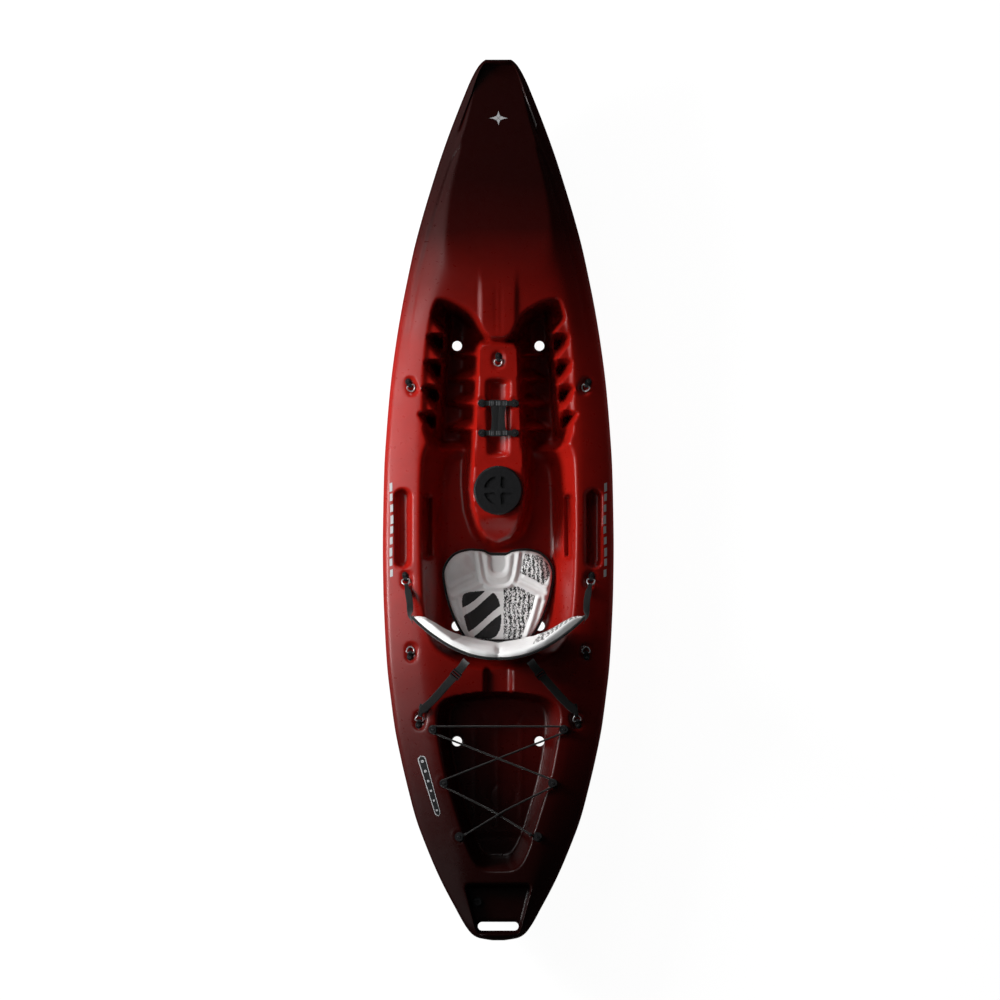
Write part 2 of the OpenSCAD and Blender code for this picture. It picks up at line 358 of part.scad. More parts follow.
// stern drain
module at_drain() translate([-63, -1226, pan_z]) children();
module drain_bushing() color([0.08, 0.08, 0.09]) at_drain() rotate_extrude($fn = 48) polygon([[7.5, -18], [10.8, -18], [10.8, 0], [15, 0], [15, 1.6], [14, 2.4], [7.5, 2.4]]);
module drain_washer() color([0.03, 0.03, 0.03]) at_drain() rotate_extrude($fn = 48) polygon([[7.6, 2.5], [12, 2.5], [12, 3.9], [7.6, 3.9]]);
module drain_plug() color([0.1, 0.1, 0.11]) at_drain() difference() {
  rotate_extrude($fn = 48) polygon([[0, -14], [6.4, -14], [7.2, -12], [7.2, 4], [12.5, 4], [12.5, 7], [11, 8.6], [0, 8.6]]);
  for (a = [0, 90]) rotate(a) translate([-8, -1.5, 6]) cube([16, 3, 5]);
}

// seat pad, dished between side bolsters
SEAT = [[0, -166], [30, -166], [40, -158], [52, -155], [92, -152], [128, -162], [150, -182], [163, -206], [167, -228], [158, -284], [145, -328], [131, -364], [113, -398], [96, -424], [58, -427], [0, -428]];
function seat_top(x, y) = seat_z + pad_t - 6 + 11 * pow(min(abs(x) / 170, 1), 2) + (y > -200 ? 4 : 0);
function seat_ring(f, z) = [for (p = mir(SEAT)) [p[0] * f, -290 + (p[1] + 290) * f, z]];
module seat_pad() color([0.85, 0.85, 0.84]) skin([seat_ring(0.9, seat_z + 0.4), seat_ring(0.945, seat_z + 4), seat_ring(0.985, seat_z + 12), seat_ring(0.98, seat_z + pad_t - 8),
  [for (p = seat_ring(0.93, 0)) [p[0], p[1], seat_top(p[0], p[1])]], [for (p = seat_ring(0.8, 0)) [p[0], p[1], seat_top(p[0], p[1]) + 1]], [for (p = seat_ring(0.5, 0)) [p[0], p[1], seat_top(p[0], p[1])]]]);
module seat_pad_binding() color([0.06, 0.06, 0.06]) loop([for (i = [0:len(mir(SEAT)) - 1]) let (a = seat_ring(0.992, seat_z + 12)[i], b = seat_ring(1.012, seat_z + 12)[i]) [a, b, b + [0, 0, 5.5], a + [0, 0, 5.5]]]);
module seat_hinge_strip() color([0.08, 0.08, 0.08]) {
  skin([for (x = [-72, 72]) [[x, -430.4, seat_z + 14], [x, -432.8, seat_z + 14], [x, -435.2, seat_z + 29], [x, -432.8, seat_z + 29]]]);
  translate([-72, -434, seat_z + 29]) rotate([0, 90, 0]) cylinder(r = 1.6, h = 144, $fn = 24);
}

// backrest: z of its bottom and top edge, and its curved back face
function bz0(x) = seat_z + 31 + lookup(abs(x), [[0, 0], [92, 0], [120, 36], [150, 86], [190, 126], [230, 152], [262, 172]]);
function bz1(x) = back_top + lookup(abs(x), [[0, -10], [12, -6], [40, 0], [90, 0], [150, -16], [210, -44], [245, -66], [262, -84]]);
function by(x, z) = -487 + 0.00165 * x * x + 0.13 * (386 - z);
function bn(x) = unit([-0.0033 * x, 1, 0.13]);
function bpt(x, t, d) = let (z = bz0(x) + t * (bz1(x) - bz0(x))) [x, by(x, z), z] + d * bn(x);
BXS = concat([-262, -256, -244], [for (x = [-225:25:225]) x], [244, 256, 262]);
function bth(x) = lookup(abs(x), [[0, 20], [20, 23], [200, 21], [244, 17], [256, 12], [262, 6]]);
module backrest_pad() color([0.87, 0.87, 0.86]) skin([for (x = BXS) let (t = bth(x)) [bpt(x, 0.02, 1), bpt(x, 0.98, 1), bpt(x, 1, 0.25 * t), bpt(x, 1, 0.6 * t), bpt(x, 0.97, 0.92 * t), bpt(x, 0.8, t), bpt(x, 0.5, t + 2), bpt(x, 0.2, t), bpt(x, 0.03, 0.92 * t), bpt(x, 0, 0.6 * t), bpt(x, 0, 0.25 * t)]]);
module backrest_stiffener() color([0.07, 0.07, 0.075]) skin([for (x = [-200:25:200]) [bpt(x, 0.1, 0.6), bpt(x, 0.1, -2.4), bpt(x, 0.9, -2.4), bpt(x, 0.9, 0.6)]]);
function back_edge() = concat([for (x = [-250:25:250]) bpt(x, 1, 0)], [for (t = [0.9:-0.2:0.1]) bpt(263.5, t, 0)], [for (x = [250:-25:-250]) bpt(x, 0, 0)], [for (t = [0.1:0.2:0.9]) bpt(-263.5, t, 0)]);
module backrest_binding() color([0.06, 0.06, 0.06]) loop([for (i = [0:len(back_edge()) - 1]) let (p = back_edge(), n = len(p), t = unit(p[(i + 1) % n] - p[(i + n - 1) % n]), f = bn(p[i][0]), o = unit(cross(t, f))) [p[i] + 1.8 * o - 1 * f, p[i] + 4.6 * o - 1 * f, p[i] + 4.6 * o + 5 * f, p[i] + 1.8 * o + 5 * f]]);

// webbing
function ring_tip(i, a) = let (d = PAD[i][3], l = eye_x + 19 * cos(a)) [PAD[i][0] + l * cos(d), PAD[i][1] + l * sin(d), pad_z(i) + eye_z + 19 * sin(a)];
// a strap from a ring: tail under the wire, round it, and away to the far point
function flat_to(c, far) = unit([far[0] - c[0], far[1] - c[1], 0]);
function strap_run(c, far, bend, w = 4.8) = let (u = flat_to(c, far)) concat(
  [c + 26 * u + [0, 0, -w - 0.6 + 26 * bend], c + 11 * u + [0, 0, -w - 0.4 + 11 * bend]],
  [for (a = [270:-30:90]) c + w * cos(a) * u + [0, 0, w * sin(a)]],
  [c + 11 * u + [0, 0, w + 0.4 + 11 * bend]]);
tip_a = 22;
// widths along a strap: narrow where it turns through the ring
function strap_w(w, n = 8) = [n, n, n, n, n, n, n, n, n, n, w];
module front_strap(s) color([0.06, 0.06, 0.065]) let (c = ring_tip(s > 0 ? 3 : 4, tip_a), far = [s * 270, -330], g = cross(flat_to(c, far), [0, 0, 1]))
  skin(flats(concat(strap_run(c, far, 0.3), [[s * 275, -282, c[2] + 14], [s * 270, -312, c[2] + 34], [s * 269, -338, 268], [s * 268.5, -352, 284]]), strap_w(front_w), 1.4, function (t) t < 0.75 ? g : g + (t - 0.75) * 3 * [0, 0, s]));
module rear_strap(s) color([0.06, 0.06, 0.065]) let (c = ring_tip(s > 0 ? 7 : 8, tip_a), far = [s * 129, -531], near = [c[0] - s * 34, c[1] + 92], g = cross(flat_to(c, far), [0, 0, 1]), h = cross(flat_to(c, near), [0, 0, 1]))
  skin(flats(concat(strap_run(c, near, 0.42, 5.4), [[s * 196, -607, 257], [s * 150, -555, 288], [s * 139, -543, 296]]), strap_w(web_w, 6.4), 1.4, function (t) t < 0.7 ? h : g));
module rear_web(s) color([0.06, 0.06, 0.065]) skin(flats([[s * 121, -522, 309], [s * 112, -511, 316], [s * 105, -501, 325], [s * 100, -493.5, 336], [s * 96, -489.5, 352]], web_w, 1.4, cross(unit([-s * 0.63, 0.78, 0]), [0, 0, 1])));
// ladder-lock buckle between the two webbings
module buckle(s) color([0.05, 0.05, 0.055]) translate([s * 129.5, -532.5, 303.4]) rotate([0, 0, s * 40]) rotate([31, 0, 0]) difference() {
  translate([-16, -12, -3]) cube([32, 24, 6]);
  for (y = [-7.5, 2.5]) translate([-13.2, y, -6]) cube([26.4, 5, 12]);
}
module front_strap_left() front_strap(-1);
module front_strap_right() front_strap(1);
module rear_strap_left() rear_strap(-1);
module rear_strap_right() rear_strap(1);
module rear_web_left() rear_web(-1);
module rear_web_right() rear_web(1);
module buckle_left() buckle(-1);
module buckle_right() buckle(1);
module ring_console() dring(0, 13);
module ring_front_right() dring(1, 13);
module ring_front_left() dring(2, 13);
module ring_side_right() dring(3, -tip_a);
module ring_side_left() dring(4, -tip_a);
module ring_mid_right() dring(5, 13);
module ring_mid_left() dring(6, 13);
module ring_rear_right() dring(7, -tip_a);
module ring_rear_left() dring(8, -tip_a);

kayak_hull();
hatch_rim();
hatch_rim_screws();
hatch_bucket();
hatch_oring();
hatch_lid();
drain_bushing();
drain_washer();
drain_plug();
padeyes();
padeye_screws();
ring_console();
ring_front_left();
ring_front_right();
ring_side_left();
ring_side_right();
ring_mid_left();
ring_mid_right();
ring_rear_left();
ring_rear_right();
bungee_hooks();
bungee_hook_screws();
bungee_cord();
bungee_knots();
strap_anchors();
strap_anchor_screws();
bottle_strap();
seat_pad();
seat_pad_binding();
seat_hinge_strip();
backrest_pad();
backrest_binding();
backrest_stiffener();
front_strap_left();
front_strap_right();
rear_strap_left();
rear_strap_right();
rear_web_left();
rear_web_right();
buckle_left();
buckle_right();
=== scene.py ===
import bpy, json, math
import numpy as np
from mathutils import Vector, Matrix

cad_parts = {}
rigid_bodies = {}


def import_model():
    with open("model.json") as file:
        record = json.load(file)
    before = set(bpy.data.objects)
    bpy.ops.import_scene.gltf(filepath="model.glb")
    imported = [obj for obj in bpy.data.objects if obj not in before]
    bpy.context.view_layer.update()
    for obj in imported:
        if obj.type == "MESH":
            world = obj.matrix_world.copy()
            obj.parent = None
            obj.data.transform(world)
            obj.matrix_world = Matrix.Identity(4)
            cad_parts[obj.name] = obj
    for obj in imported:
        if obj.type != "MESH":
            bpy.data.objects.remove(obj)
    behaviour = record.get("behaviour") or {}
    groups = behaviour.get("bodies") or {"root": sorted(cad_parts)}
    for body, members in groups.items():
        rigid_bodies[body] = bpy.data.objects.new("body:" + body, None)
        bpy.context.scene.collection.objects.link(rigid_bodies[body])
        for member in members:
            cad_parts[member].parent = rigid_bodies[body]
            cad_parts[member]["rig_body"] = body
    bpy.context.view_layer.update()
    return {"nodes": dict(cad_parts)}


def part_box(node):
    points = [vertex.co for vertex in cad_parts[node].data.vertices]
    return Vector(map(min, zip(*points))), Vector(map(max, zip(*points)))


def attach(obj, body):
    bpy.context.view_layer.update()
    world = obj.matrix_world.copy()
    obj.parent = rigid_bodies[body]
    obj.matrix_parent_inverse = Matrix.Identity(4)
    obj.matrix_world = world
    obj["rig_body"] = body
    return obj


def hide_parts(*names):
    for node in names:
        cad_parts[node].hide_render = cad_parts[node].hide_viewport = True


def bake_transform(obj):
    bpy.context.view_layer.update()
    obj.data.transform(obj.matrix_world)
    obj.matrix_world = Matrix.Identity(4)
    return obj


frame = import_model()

sc = bpy.context.scene
sc.view_settings.view_transform = "Standard"
sc.view_settings.look = "None"

# ---------------------------------------------------------------- camera, light, floor
cam_data = bpy.data.cameras.new("camera")
cam = bpy.data.objects.new("camera", cam_data)
sc.collection.objects.link(cam)
cam_data.type = "ORTHO"
cam_data.ortho_scale = 3.05
cam.location = (0.0053, 0.0, 8.0)
cam.rotation_euler = (0, 0, 0)
cam_data.clip_end = 100
sc.camera = cam


def nodes_of(tree):
    tree.nodes.clear()
    return tree.nodes, tree.links


def world_light():
    w = bpy.data.worlds.new("studio")
    sc.world = w
    w.use_nodes = True
    n, l = nodes_of(w.node_tree)
    tc = n.new("ShaderNodeTexCoord")
    dot = n.new("ShaderNodeVectorMath"); dot.operation = "DOT_PRODUCT"
    d = Vector((-1.0, 0.12, 0.14)).normalized()
    dot.inputs[1].default_value = d
    l.new(tc.outputs["Generated"], dot.inputs[0])
    mr = n.new("ShaderNodeMapRange"); mr.interpolation_type = "SMOOTHSTEP"
    mr.inputs["From Min"].default_value = 0.66
    mr.inputs["From Max"].default_value = 0.95
    mr.inputs["To Min"].default_value = 0.012
    mr.inputs["To Max"].default_value = WORLD_L
    l.new(dot.outputs["Value"], mr.inputs["Value"])
    dark = n.new("ShaderNodeBackground")
    l.new(mr.outputs["Result"], dark.inputs["Strength"])
    pale = n.new("ShaderNodeBackground")
    pale.inputs["Color"].default_value = (0.97, 0.97, 0.97, 1)
    lp = n.new("ShaderNodeLightPath")
    mix = n.new("ShaderNodeMixShader")
    l.new(lp.outputs["Is Camera Ray"], mix.inputs[0])
    l.new(dark.outputs[0], mix.inputs[1])
    l.new(pale.outputs[0], mix.inputs[2])
    out = n.new("ShaderNodeOutputWorld")
    l.new(mix.outputs[0], out.inputs[0])


def area(name, at, look, size, power, size_y=None):
    ld = bpy.data.lights.new(name, "AREA")
    ld.energy = power
    ld.size = size
    if size_y:
        ld.shape = "RECTANGLE"
        ld.size_y = size_y
    o = bpy.data.objects.new(name, ld)
    sc.collection.objects.link(o)
    o.location = at
    o.rotation_euler = (Vector(look) - Vector(at)).to_track_quat("-Z", "Y").to_euler()
    return o


WORLD_L = 0.30
world_light()
key = area("key_softbox", (-3.7, 1.2, 1.85), (0, 0, 0.1), 1.3, 262, 1.3)
key.visible_glossy = False
spark = area("spark_softbox", (-3.0, -0.25, 1.55), (0, -0.1, 0.1), 0.5, 22, 0.5)
spark.visible_diffuse = False
area("side_softbox", (-2.0, 0.0, 2.35), (0, 0.0, 0.1), 1.3, 12, 1.75)
area("front_softbox", (-1.0, 3.6, 2.5), (0, 0.2, 0.1), 1.2, 26, 1.2)

# ---------------------------------------------------------------- materials


def new_mat(name):
    m = bpy.data.materials.new(name)
    m.use_nodes = True
    n, l = nodes_of(m.node_tree)
    b = n.new("ShaderNodeBsdfPrincipled")
    o = n.new("ShaderNodeOutputMaterial")
    l.new(b.outputs[0], o.inputs[0])
    return m, n, l, b


def coords(n, l, scale=(1, 1, 1)):
    tc = n.new("ShaderNodeTexCoord")
    mp = n.new("ShaderNodeMapping")
    mp.inputs["Scale"].default_value = scale
    l.new(tc.outputs["Object"], mp.inputs["Vector"])
    return mp.outputs["Vector"]


def noise(n, l, vec, scale, detail=3, rough=0.5, distortion=0.0):
    t = n.new("ShaderNodeTexNoise")
    t.inputs["Scale"].default_value = scale
    t.inputs["Detail"].default_value = detail
    t.inputs["Roughness"].default_value = rough
    t.inputs["Distortion"].default_value = distortion
    l.new(vec, t.inputs["Vector"])
    return t.outputs["Fac"]


def remap(n, l, val, a, b, c, d, smooth=False):
    m = n.new("ShaderNodeMapRange")
    if smooth:
        m.interpolation_type = "SMOOTHSTEP"
    for k, v in zip(("From Min", "From Max", "To Min", "To Max"), (a, b, c, d)):
        m.inputs[k].default_value = v
    l.new(val, m.inputs["Value"])
    return m.outputs["Result"]


def math_node(n, l, op, a, b=None):
    m = n.new("ShaderNodeMath"); m.operation = op
    for i, v in enumerate((a, b)):
        if v is None:
            continue
        if isinstance(v, (int, float)):
            m.inputs[i].default_value = v
        else:
            l.new(v, m.inputs[i])
    return m.outputs[0]


def ramp(n, l, fac, stops):
    r = n.new("ShaderNodeValToRGB")
    e = r.color_ramp.elements
    while len(e) < len(stops):
        e.new(0.5)
    for el, (p, c) in zip(e, stops):
        el.position = p
        el.color = (*c, 1)
    l.new(fac, r.inputs["Fac"])
    return r.outputs["Color"]


def mix_col(n, l, fac, a, b, mode="MIX"):
    m = n.new("ShaderNodeMix"); m.data_type = "RGBA"; m.blend_type = mode
    ins = [i for i in m.inputs if i.type == "RGBA"]
    for sock, v in ((m.inputs[0], fac), (ins[0], a), (ins[1], b)):
        if isinstance(v, (int, float)):
            sock.default_value = v
        elif isinstance(v, tuple):
            sock.default_value = (*v, 1)
        else:
            l.new(v, sock)
    return [o for o in m.outputs if o.type == "RGBA"][0]


def bump(n, l, b, height, strength, dist=0.001):
    bp = n.new("ShaderNodeBump")
    bp.inputs["Strength"].default_value = strength
    bp.inputs["Distance"].default_value = dist
    l.new(height, bp.inputs["Height"])
    l.new(bp.outputs[0], b.inputs["Normal"])


def hull_material():
    m, n, l, b = new_mat("hull_plastic")
    v = coords(n, l)
    sep = n.new("ShaderNodeSeparateXYZ"); l.new(v, sep.inputs[0])
    y = sep.outputs["Y"]
    wob = noise(n, l, v, 3.0, 2)
    y2 = math_node(n, l, "ADD", y, remap(n, l, wob, 0, 1, -0.04, 0.04))
    f = remap(n, l, y2, -1.35, 1.35, 0, 1)
    stops = []
    for p, r in [(0.0, 0.004), (0.093, 0.011), (0.161, 0.022), (0.229, 0.062), (0.297, 0.135), (0.364, 0.225), (0.432, 0.30), (0.534, 0.325), (0.601, 0.325),
                 (0.669, 0.275), (0.703, 0.20), (0.737, 0.135), (0.771, 0.078), (0.805, 0.027), (0.86, 0.013), (1.0, 0.010)]:
        stops.append((p, (r, 0.0007 + 0.021 * r, 0.0006 + 0.011 * r)))
    col = ramp(n, l, f, stops)
    mott = noise(n, l, v, 26, 4, 0.6)
    col = mix_col(n, l, remap(n, l, mott, 0.3, 0.7, 0.0, 0.13), col, (0.02, 0.001, 0.001))
    l.new(col, b.inputs["Base Color"])
    rn = noise(n, l, v, 60, 3, 0.6)
    l.new(remap(n, l, rn, 0, 1, 0.24, 0.34), b.inputs["Roughness"])
    fine = noise(n, l, v, 420, 2, 0.5)
    wide = noise(n, l, v, 30, 2, 0.5)
    h = math_node(n, l, "ADD", math_node(n, l, "MULTIPLY", fine, 0.05), wide)
    bump(n, l, b, h, 0.05, 0.0008)
    b.inputs["IOR"].default_value = 1.50
    return m


def plain(name, col, rough, metallic=0.0, var=0.25, scale=80, bumpy=0.25, fine=900, dist=0.0003, stretch=(1, 1, 1)):
    m, n, l, b = new_mat(name)
    v = coords(n, l, stretch)
    t = noise(n, l, v, scale, 4, 0.6)
    c0 = tuple(max(0.0, x * (1 - var)) for x in col)
    c1 = tuple(min(1.0, x * (1 + var)) for x in col)
    l.new(mix_col(n, l, t, c0, c1), b.inputs["Base Color"])
    l.new(remap(n, l, noise(n, l, v, scale * 2.3, 3), 0, 1, max(0.02, rough - 0.08), min(1, rough + 0.1)), b.inputs["Roughness"])
    b.inputs["Metallic"].default_value = metallic
    bump(n, l, b, noise(n, l, v, fine, 2), bumpy, dist)
    return m


def webbing(name, col, pitch=0.0022, rough=0.75):
    """Flat-woven strap: two crossed sets of ribs."""
    m, n, l, b = new_mat(name)
    v = coords(n, l)
    w1 = n.new("ShaderNodeTexWave"); w1.inputs["Scale"].default_value = 1 / pitch / 6.283 * 3.14
    w1.bands_direction = "DIAGONAL"; w1.inputs["Distortion"].default_value = 0.6
    l.new(v, w1.inputs["Vector"])
    w2 = n.new("ShaderNodeTexWave"); w2.inputs["Scale"].default_value = 1 / pitch / 6.283 * 3.14
    w2.bands_direction = "X"
    l.new(v, w2.inputs["Vector"])
    h = math_node(n, l, "MULTIPLY", w1.outputs["Fac"], w2.outputs["Fac"])
    t = noise(n, l, v, 140, 3)
    # colour follows the weave height: painted highlight on the raised ribs and painted shade in the lows between them
    base = mix_col(n, l, h, tuple(c * 0.55 for c in col), tuple(min(1, c * 1.5) for c in col))
    l.new(mix_col(n, l, remap(n, l, t, 0.3, 0.7, 0, 0.35), base, tuple(c * 0.6 for c in col)), b.inputs["Base Color"])
    b.inputs["Roughness"].default_value = rough
    b.inputs["Sheen Weight"].default_value = 0.25
    bump(n, l, b, h, 0.5, 0.0006)
    return m


M_HULL = hull_material()
M_BLACK = plain("moulded_black", (0.014, 0.014, 0.015), 0.42, var=0.35, scale=120, bumpy=0.2, fine=1400)
M_LID = plain("lid_black", (0.012, 0.012, 0.013), 0.36, var=0.3, scale=90, bumpy=0.3, fine=1100)
M_BUCKET = plain("bucket_black", (0.03, 0.03, 0.032), 0.55, var=0.3)
M_STEEL = plain("ring_steel", (0.80, 0.80, 0.82), 0.36, metallic=0.8, var=0.12, scale=200, bumpy=0.12, fine=2000)
M_SCREW = plain("screw_steel", (0.30, 0.30, 0.31), 0.35, metallic=1.0, var=0.2, scale=300, bumpy=0.1, fine=2500)
M_RUBBER = plain("strap_rubber", (0.013, 0.0135, 0.014), 0.55, var=0.3, scale=150, bumpy=0.3, fine=1500)
M_SEAL = plain("seal_rubber", (0.01, 0.01, 0.01), 0.6, var=0.3)
M_WEB = webbing("webbing_black", (0.006, 0.006, 0.0065))
M_BIND = webbing("binding_black", (0.010, 0.010, 0.011), 0.0016, 0.8)
M_CORD = webbing("cord_black", (0.014, 0.013, 0.013), 0.0016, 0.7)

# ---------------------------------------------------------------- mesh helpers (millimetres in, metres out)
BODY = {}
for _n, _o in frame["nodes"].items():
    BODY[_n] = _o["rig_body"]


def mesh(name, v, f, mat, smooth=True, body=None, slot=None, attrs=None):
    me = bpy.data.meshes.new(name)
    v = np.asarray(v, float) / 1000.0
    me.from_pydata(v.tolist(), [], [list(map(int, q)) for q in f])
    me.materials.append(mat)
    if smooth:
        me.polygons.foreach_set("use_smooth", [True] * len(me.polygons))
    if attrs:
        for k, a in attrs.items():
            at = me.attributes.new(k, "FLOAT", "POINT")
            at.data.foreach_set("value", np.asarray(a, np.float32).ravel())
    me.update()
    o = bpy.data.objects.new(name, me)
    sc.collection.objects.link(o)
    if body:
        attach(o, body)
    return o


def look(x, t):
    t = np.asarray(t, float)
    return np.interp(x, t[:, 0], t[:, 1])


def pchip(t):
    t = np.asarray(t, float)
    x, y = t[:, 0], t[:, 1]
    h = np.diff(x); d = np.diff(y) / h
    m = np.zeros_like(y)
    for i in range(1, len(x) - 1):
        if d[i - 1] * d[i] > 0:
            w1, w2 = 2 * h[i] + h[i - 1], h[i] + 2 * h[i - 1]
            m[i] = (w1 + w2) / (w1 / d[i - 1] + w2 / d[i])
    m[0], m[-1] = d[0], d[-1]

    def f(q):
        q = np.clip(np.asarray(q, float), x[0], x[-1])
        i = np.clip(np.searchsorted(x, q) - 1, 0, len(h) - 1)
        s = (q - x[i]) / h[i]
        return (2 * s**3 - 3 * s**2 + 1) * y[i] + (s**3 - 2 * s**2 + s) * h[i] * m[i] + (3 * s**2 - 2 * s**3) * y[i + 1] + (s**3 - s**2) * h[i] * m[i + 1]
    return f


def soft_table(t, sigma):
    g = np.arange(-1500.0, 1501.0, 2.0)
    v = look(g, t)
    k = np.arange(-3 * sigma, 3 * sigma + 1, 2.0)
    w = np.exp(-0.5 * (k / sigma) ** 2); w /= w.sum()
    p = len(k) // 2
    vv = np.convolve(np.pad(v, p, mode="edge"), w, mode="valid")
    return lambda q: np.interp(q, g, vv)


def smin(a, b, k):
    h = np.clip(0.5 + 0.5 * (b - a) / k, 0, 1)
    return b * (1 - h) + a * h - k * h * (1 - h)


def smax(a, b, k):
    return -smin(-a, -b, k)


def sstep(t):
    t = np.clip(t, 0, 1)
    return t * t * (3 - 2 * t)


def sdf(X, Y, poly):
    """Signed distance to a polygon, negative inside."""
    P = np.asarray(poly, float)
    d = np.full(X.shape, 1e18)
    inside = np.zeros(X.shape, bool)
    for i in range(len(P)):
        a, b = P[i], P[(i + 1) % len(P)]
        e = b - a
        wx, wy = X - a[0], Y - a[1]
        t = np.clip((wx * e[0] + wy * e[1]) / max(e @ e, 1e-12), 0, 1)
        d = np.minimum(d, (wx - e[0] * t) ** 2 + (wy - e[1] * t) ** 2)
        c = (a[1] > Y) != (b[1] > Y)
        if a[1] != b[1]:
            xs = a[0] + (Y - a[1]) / (b[1] - a[1]) * e[0]
            inside ^= c & (X < xs)
    return np.where(inside, -1, 1) * np.sqrt(d)


def seg(X, Y, a, b):
    ax, ay = a; bx, by = b
    ex, ey = bx - ax, by - ay
    t = np.clip(((X - ax) * ex + (Y - ay) * ey) / max(ex * ex + ey * ey, 1e-12), 0, 1)
    return np.hypot(X - ax - ex * t, Y - ay - ey * t)


def line_d(X, Y, pts):
    return np.min([seg(X, Y, pts[i], pts[i + 1]) for i in range(len(pts) - 1)], axis=0)


def chaikin(P, n=2, closed=False):
    P = np.asarray(P, float)
    for _ in range(n):
        Q = np.roll(P, -1, 0) if closed else P[1:]
        R = P if closed else P[:-1]
        N = np.empty((2 * len(R), P.shape[1]))
        N[0::2] = 0.75 * R + 0.25 * Q
        N[1::2] = 0.25 * R + 0.75 * Q
        P = N if closed else np.vstack([P[:1], N, P[-1:]])
    return P

# ---------------------------------------------------------------- hull form
OFF = [[-1343.5, 16], [-1336, 59], [-1324, 80], [-1305, 96], [-1244, 131], [-1153, 178.4], [-1061, 218], [-970, 251.6], [-878, 276], [-787, 297.4], [-695, 315.7], [-604, 328], [-512, 338.6], [-390, 346.2], [-268, 350.8], [-146, 352.3], [-24, 350.8], [98, 347.7], [220, 340], [342, 329.4], [464, 314], [586, 294], [677, 276], [769, 256], [860, 231.8], [952, 204.4], [1043, 175.4], [1104, 154], [1165, 131], [1226, 106.8], [1287, 80.8], [1324, 59.5], [1336, 48.8], [1343.5, 39]]
CREST = 232.0
hw = pchip(OFF)
_zc = soft_table([[-1343, 4], [-1171, 12], [-900, 3], [-600, -2], [-300, -4], [0, -2], [300, 7], [500, 27], [620, 46], [800, 72], [1080, 104], [1230, 112], [1343, 113]], 26)
zc = lambda y: CREST + _zc(y)
drop = soft_table([[-1343, 16], [-1171, 30], [-600, 34], [300, 36], [620, 46], [900, 58], [1100, 62], [1250, 46], [1343, 14]], 26)
zs = lambda y: zc(y) - drop(y)
_zg = soft_table([[-1343, 18], [0, 19], [900, 22], [1250, 26], [1343, 24]], 26)
zg = lambda y: zs(y) - _zg(y)
_sh = soft_table([[-1343, 12], [-900, 17], [0, 17], [600, 13], [900, 14], [1060, 30], [1250, 24], [1343, 10]], 26)
sh = lambda y: np.minimum(0.3 * hw(y), _sh(y))
zb = pchip([[-1343.5, 172], [-1320, 140], [-1290, 112], [-1230, 76], [-1150, 44], [-1050, 22], [-900, 7], [-700, 0], [640, 0], [780, 8], [920, 28], [1050, 62], [1150, 104], [1230, 150], [1290, 196], [1325, 232], [1343.5, 262]])
_xc = soft_table([[-1343, 50], [-1171, 103], [-1025, 128], [-830, 180], [-616, 208], [-460, 222], [-122, 232], [200, 234], [500, 214], [620, 196], [1080, 70], [1343, 20]], 26)
xc = lambda y: np.minimum(0.72 * (hw(y) - sh(y)), _xc(y))
crown = soft_table([[-1343, 2], [-600, 1], [400, 2], [620, 8], [900, 12], [1200, 8], [1343, 2]], 26)
gr = lambda y: 14 * look(y, [[-1343, 0], [-1000, 0.3], [-700, 1], [600, 1], [1000, 0.3], [1343, 0]])


def deck_cad(x, y):
    a = abs(x); w = float(hw(y)); s = float(sh(y)); c = float(xc(y)); m = (w - s + c) / 2
    k = [[0, zc(y) + crown(y)], [c / 2, zc(y) + 0.75 * crown(y)], [c, zc(y)], [m, zs(y) + 0.6 * drop(y)], [w - s, zs(y)], [w - 0.45 * s, zg(y) + 0.6 * (zs(y) - zg(y))], [w, zg(y)]]
    return float(look(a, [[float(p), float(q)] for p, q in k]))


FW_T = [[0, 500], [31, 500], [45, 522], [62, 570], [109, 601], [167, 627], [203, 622], [226, 494], [241, 367], [247, 205], [226, 178], [150, -160]]
FW_B = [[0, 470], [31, 470], [60, 500], [90, 535], [112, 556], [150, 572], [168, 566], [182, 494], [190, 367], [192, 205], [180, 178], [130, 175]]
SW_T = [[0, 300], [120, 260], [226, 175], [236, 60], [238, -122], [233, -305], [217, -410], [179, -466], [89, -511], [0, -518]]
SW_B = [[0, 160], [90, 150], [160, 120], [172, 60], [174, -122], [170, -305], [158, -395], [125, -440], [60, -462], [0, -466]]
TW_T = [[0, -586], [44, -587], [145, -602], [180, -622], [190, -660], [186, -700], [163, -833], [132, -933], [107, -1010], [92, -1064], [59, -1125], [0, -1128]]
TW_B = [[0, -600], [44, -601], [125, -612], [145, -632], [151, -662], [148, -740], [124, -863], [98, -950], [78, -1010], [60, -1055], [38, -1085], [0, -1086]]
CO_T = [[0, 476], [52, 476], [60, 466], [66, 300], [77, 100], [81, 40], [77, -20], [59, -78], [37, -107], [0, -124]]
CO_B = [[0, 560], [92, 560], [100, 540], [106, 300], [116, 150], [118, 60], [108, -40], [84, -110], [50, -145], [0, -160]]
PAD = [[0, 436, 214, -90], [273, 357, 0, -115], [-273, 357, 0, -65], [284, -233, 0, -97], [-284, -233, 0, -83], [269, -475, 0, 94], [-269, -475, 0, 86], [243, -683, 0, 100], [-243, -683, 0, 80]]
HOOK = [[200, -700], [166, -864], [119, -1027]]
ANCH = [[50, 295.2], [50, 204.4]]
ANCH_Z, PAN_Z, CON_Z = 207.0, 205.0, 205.0
STEP_Z = [deck_cad(214 + 8.3 * i, 526 - 78.4 * i) - 7.5 for i in range(4)]
SCUP = [[125.6, 470, 52], [127, -384, 82], [125.6, -736, 122]]
LKUP_HW = lambda y: float(look(y, OFF))


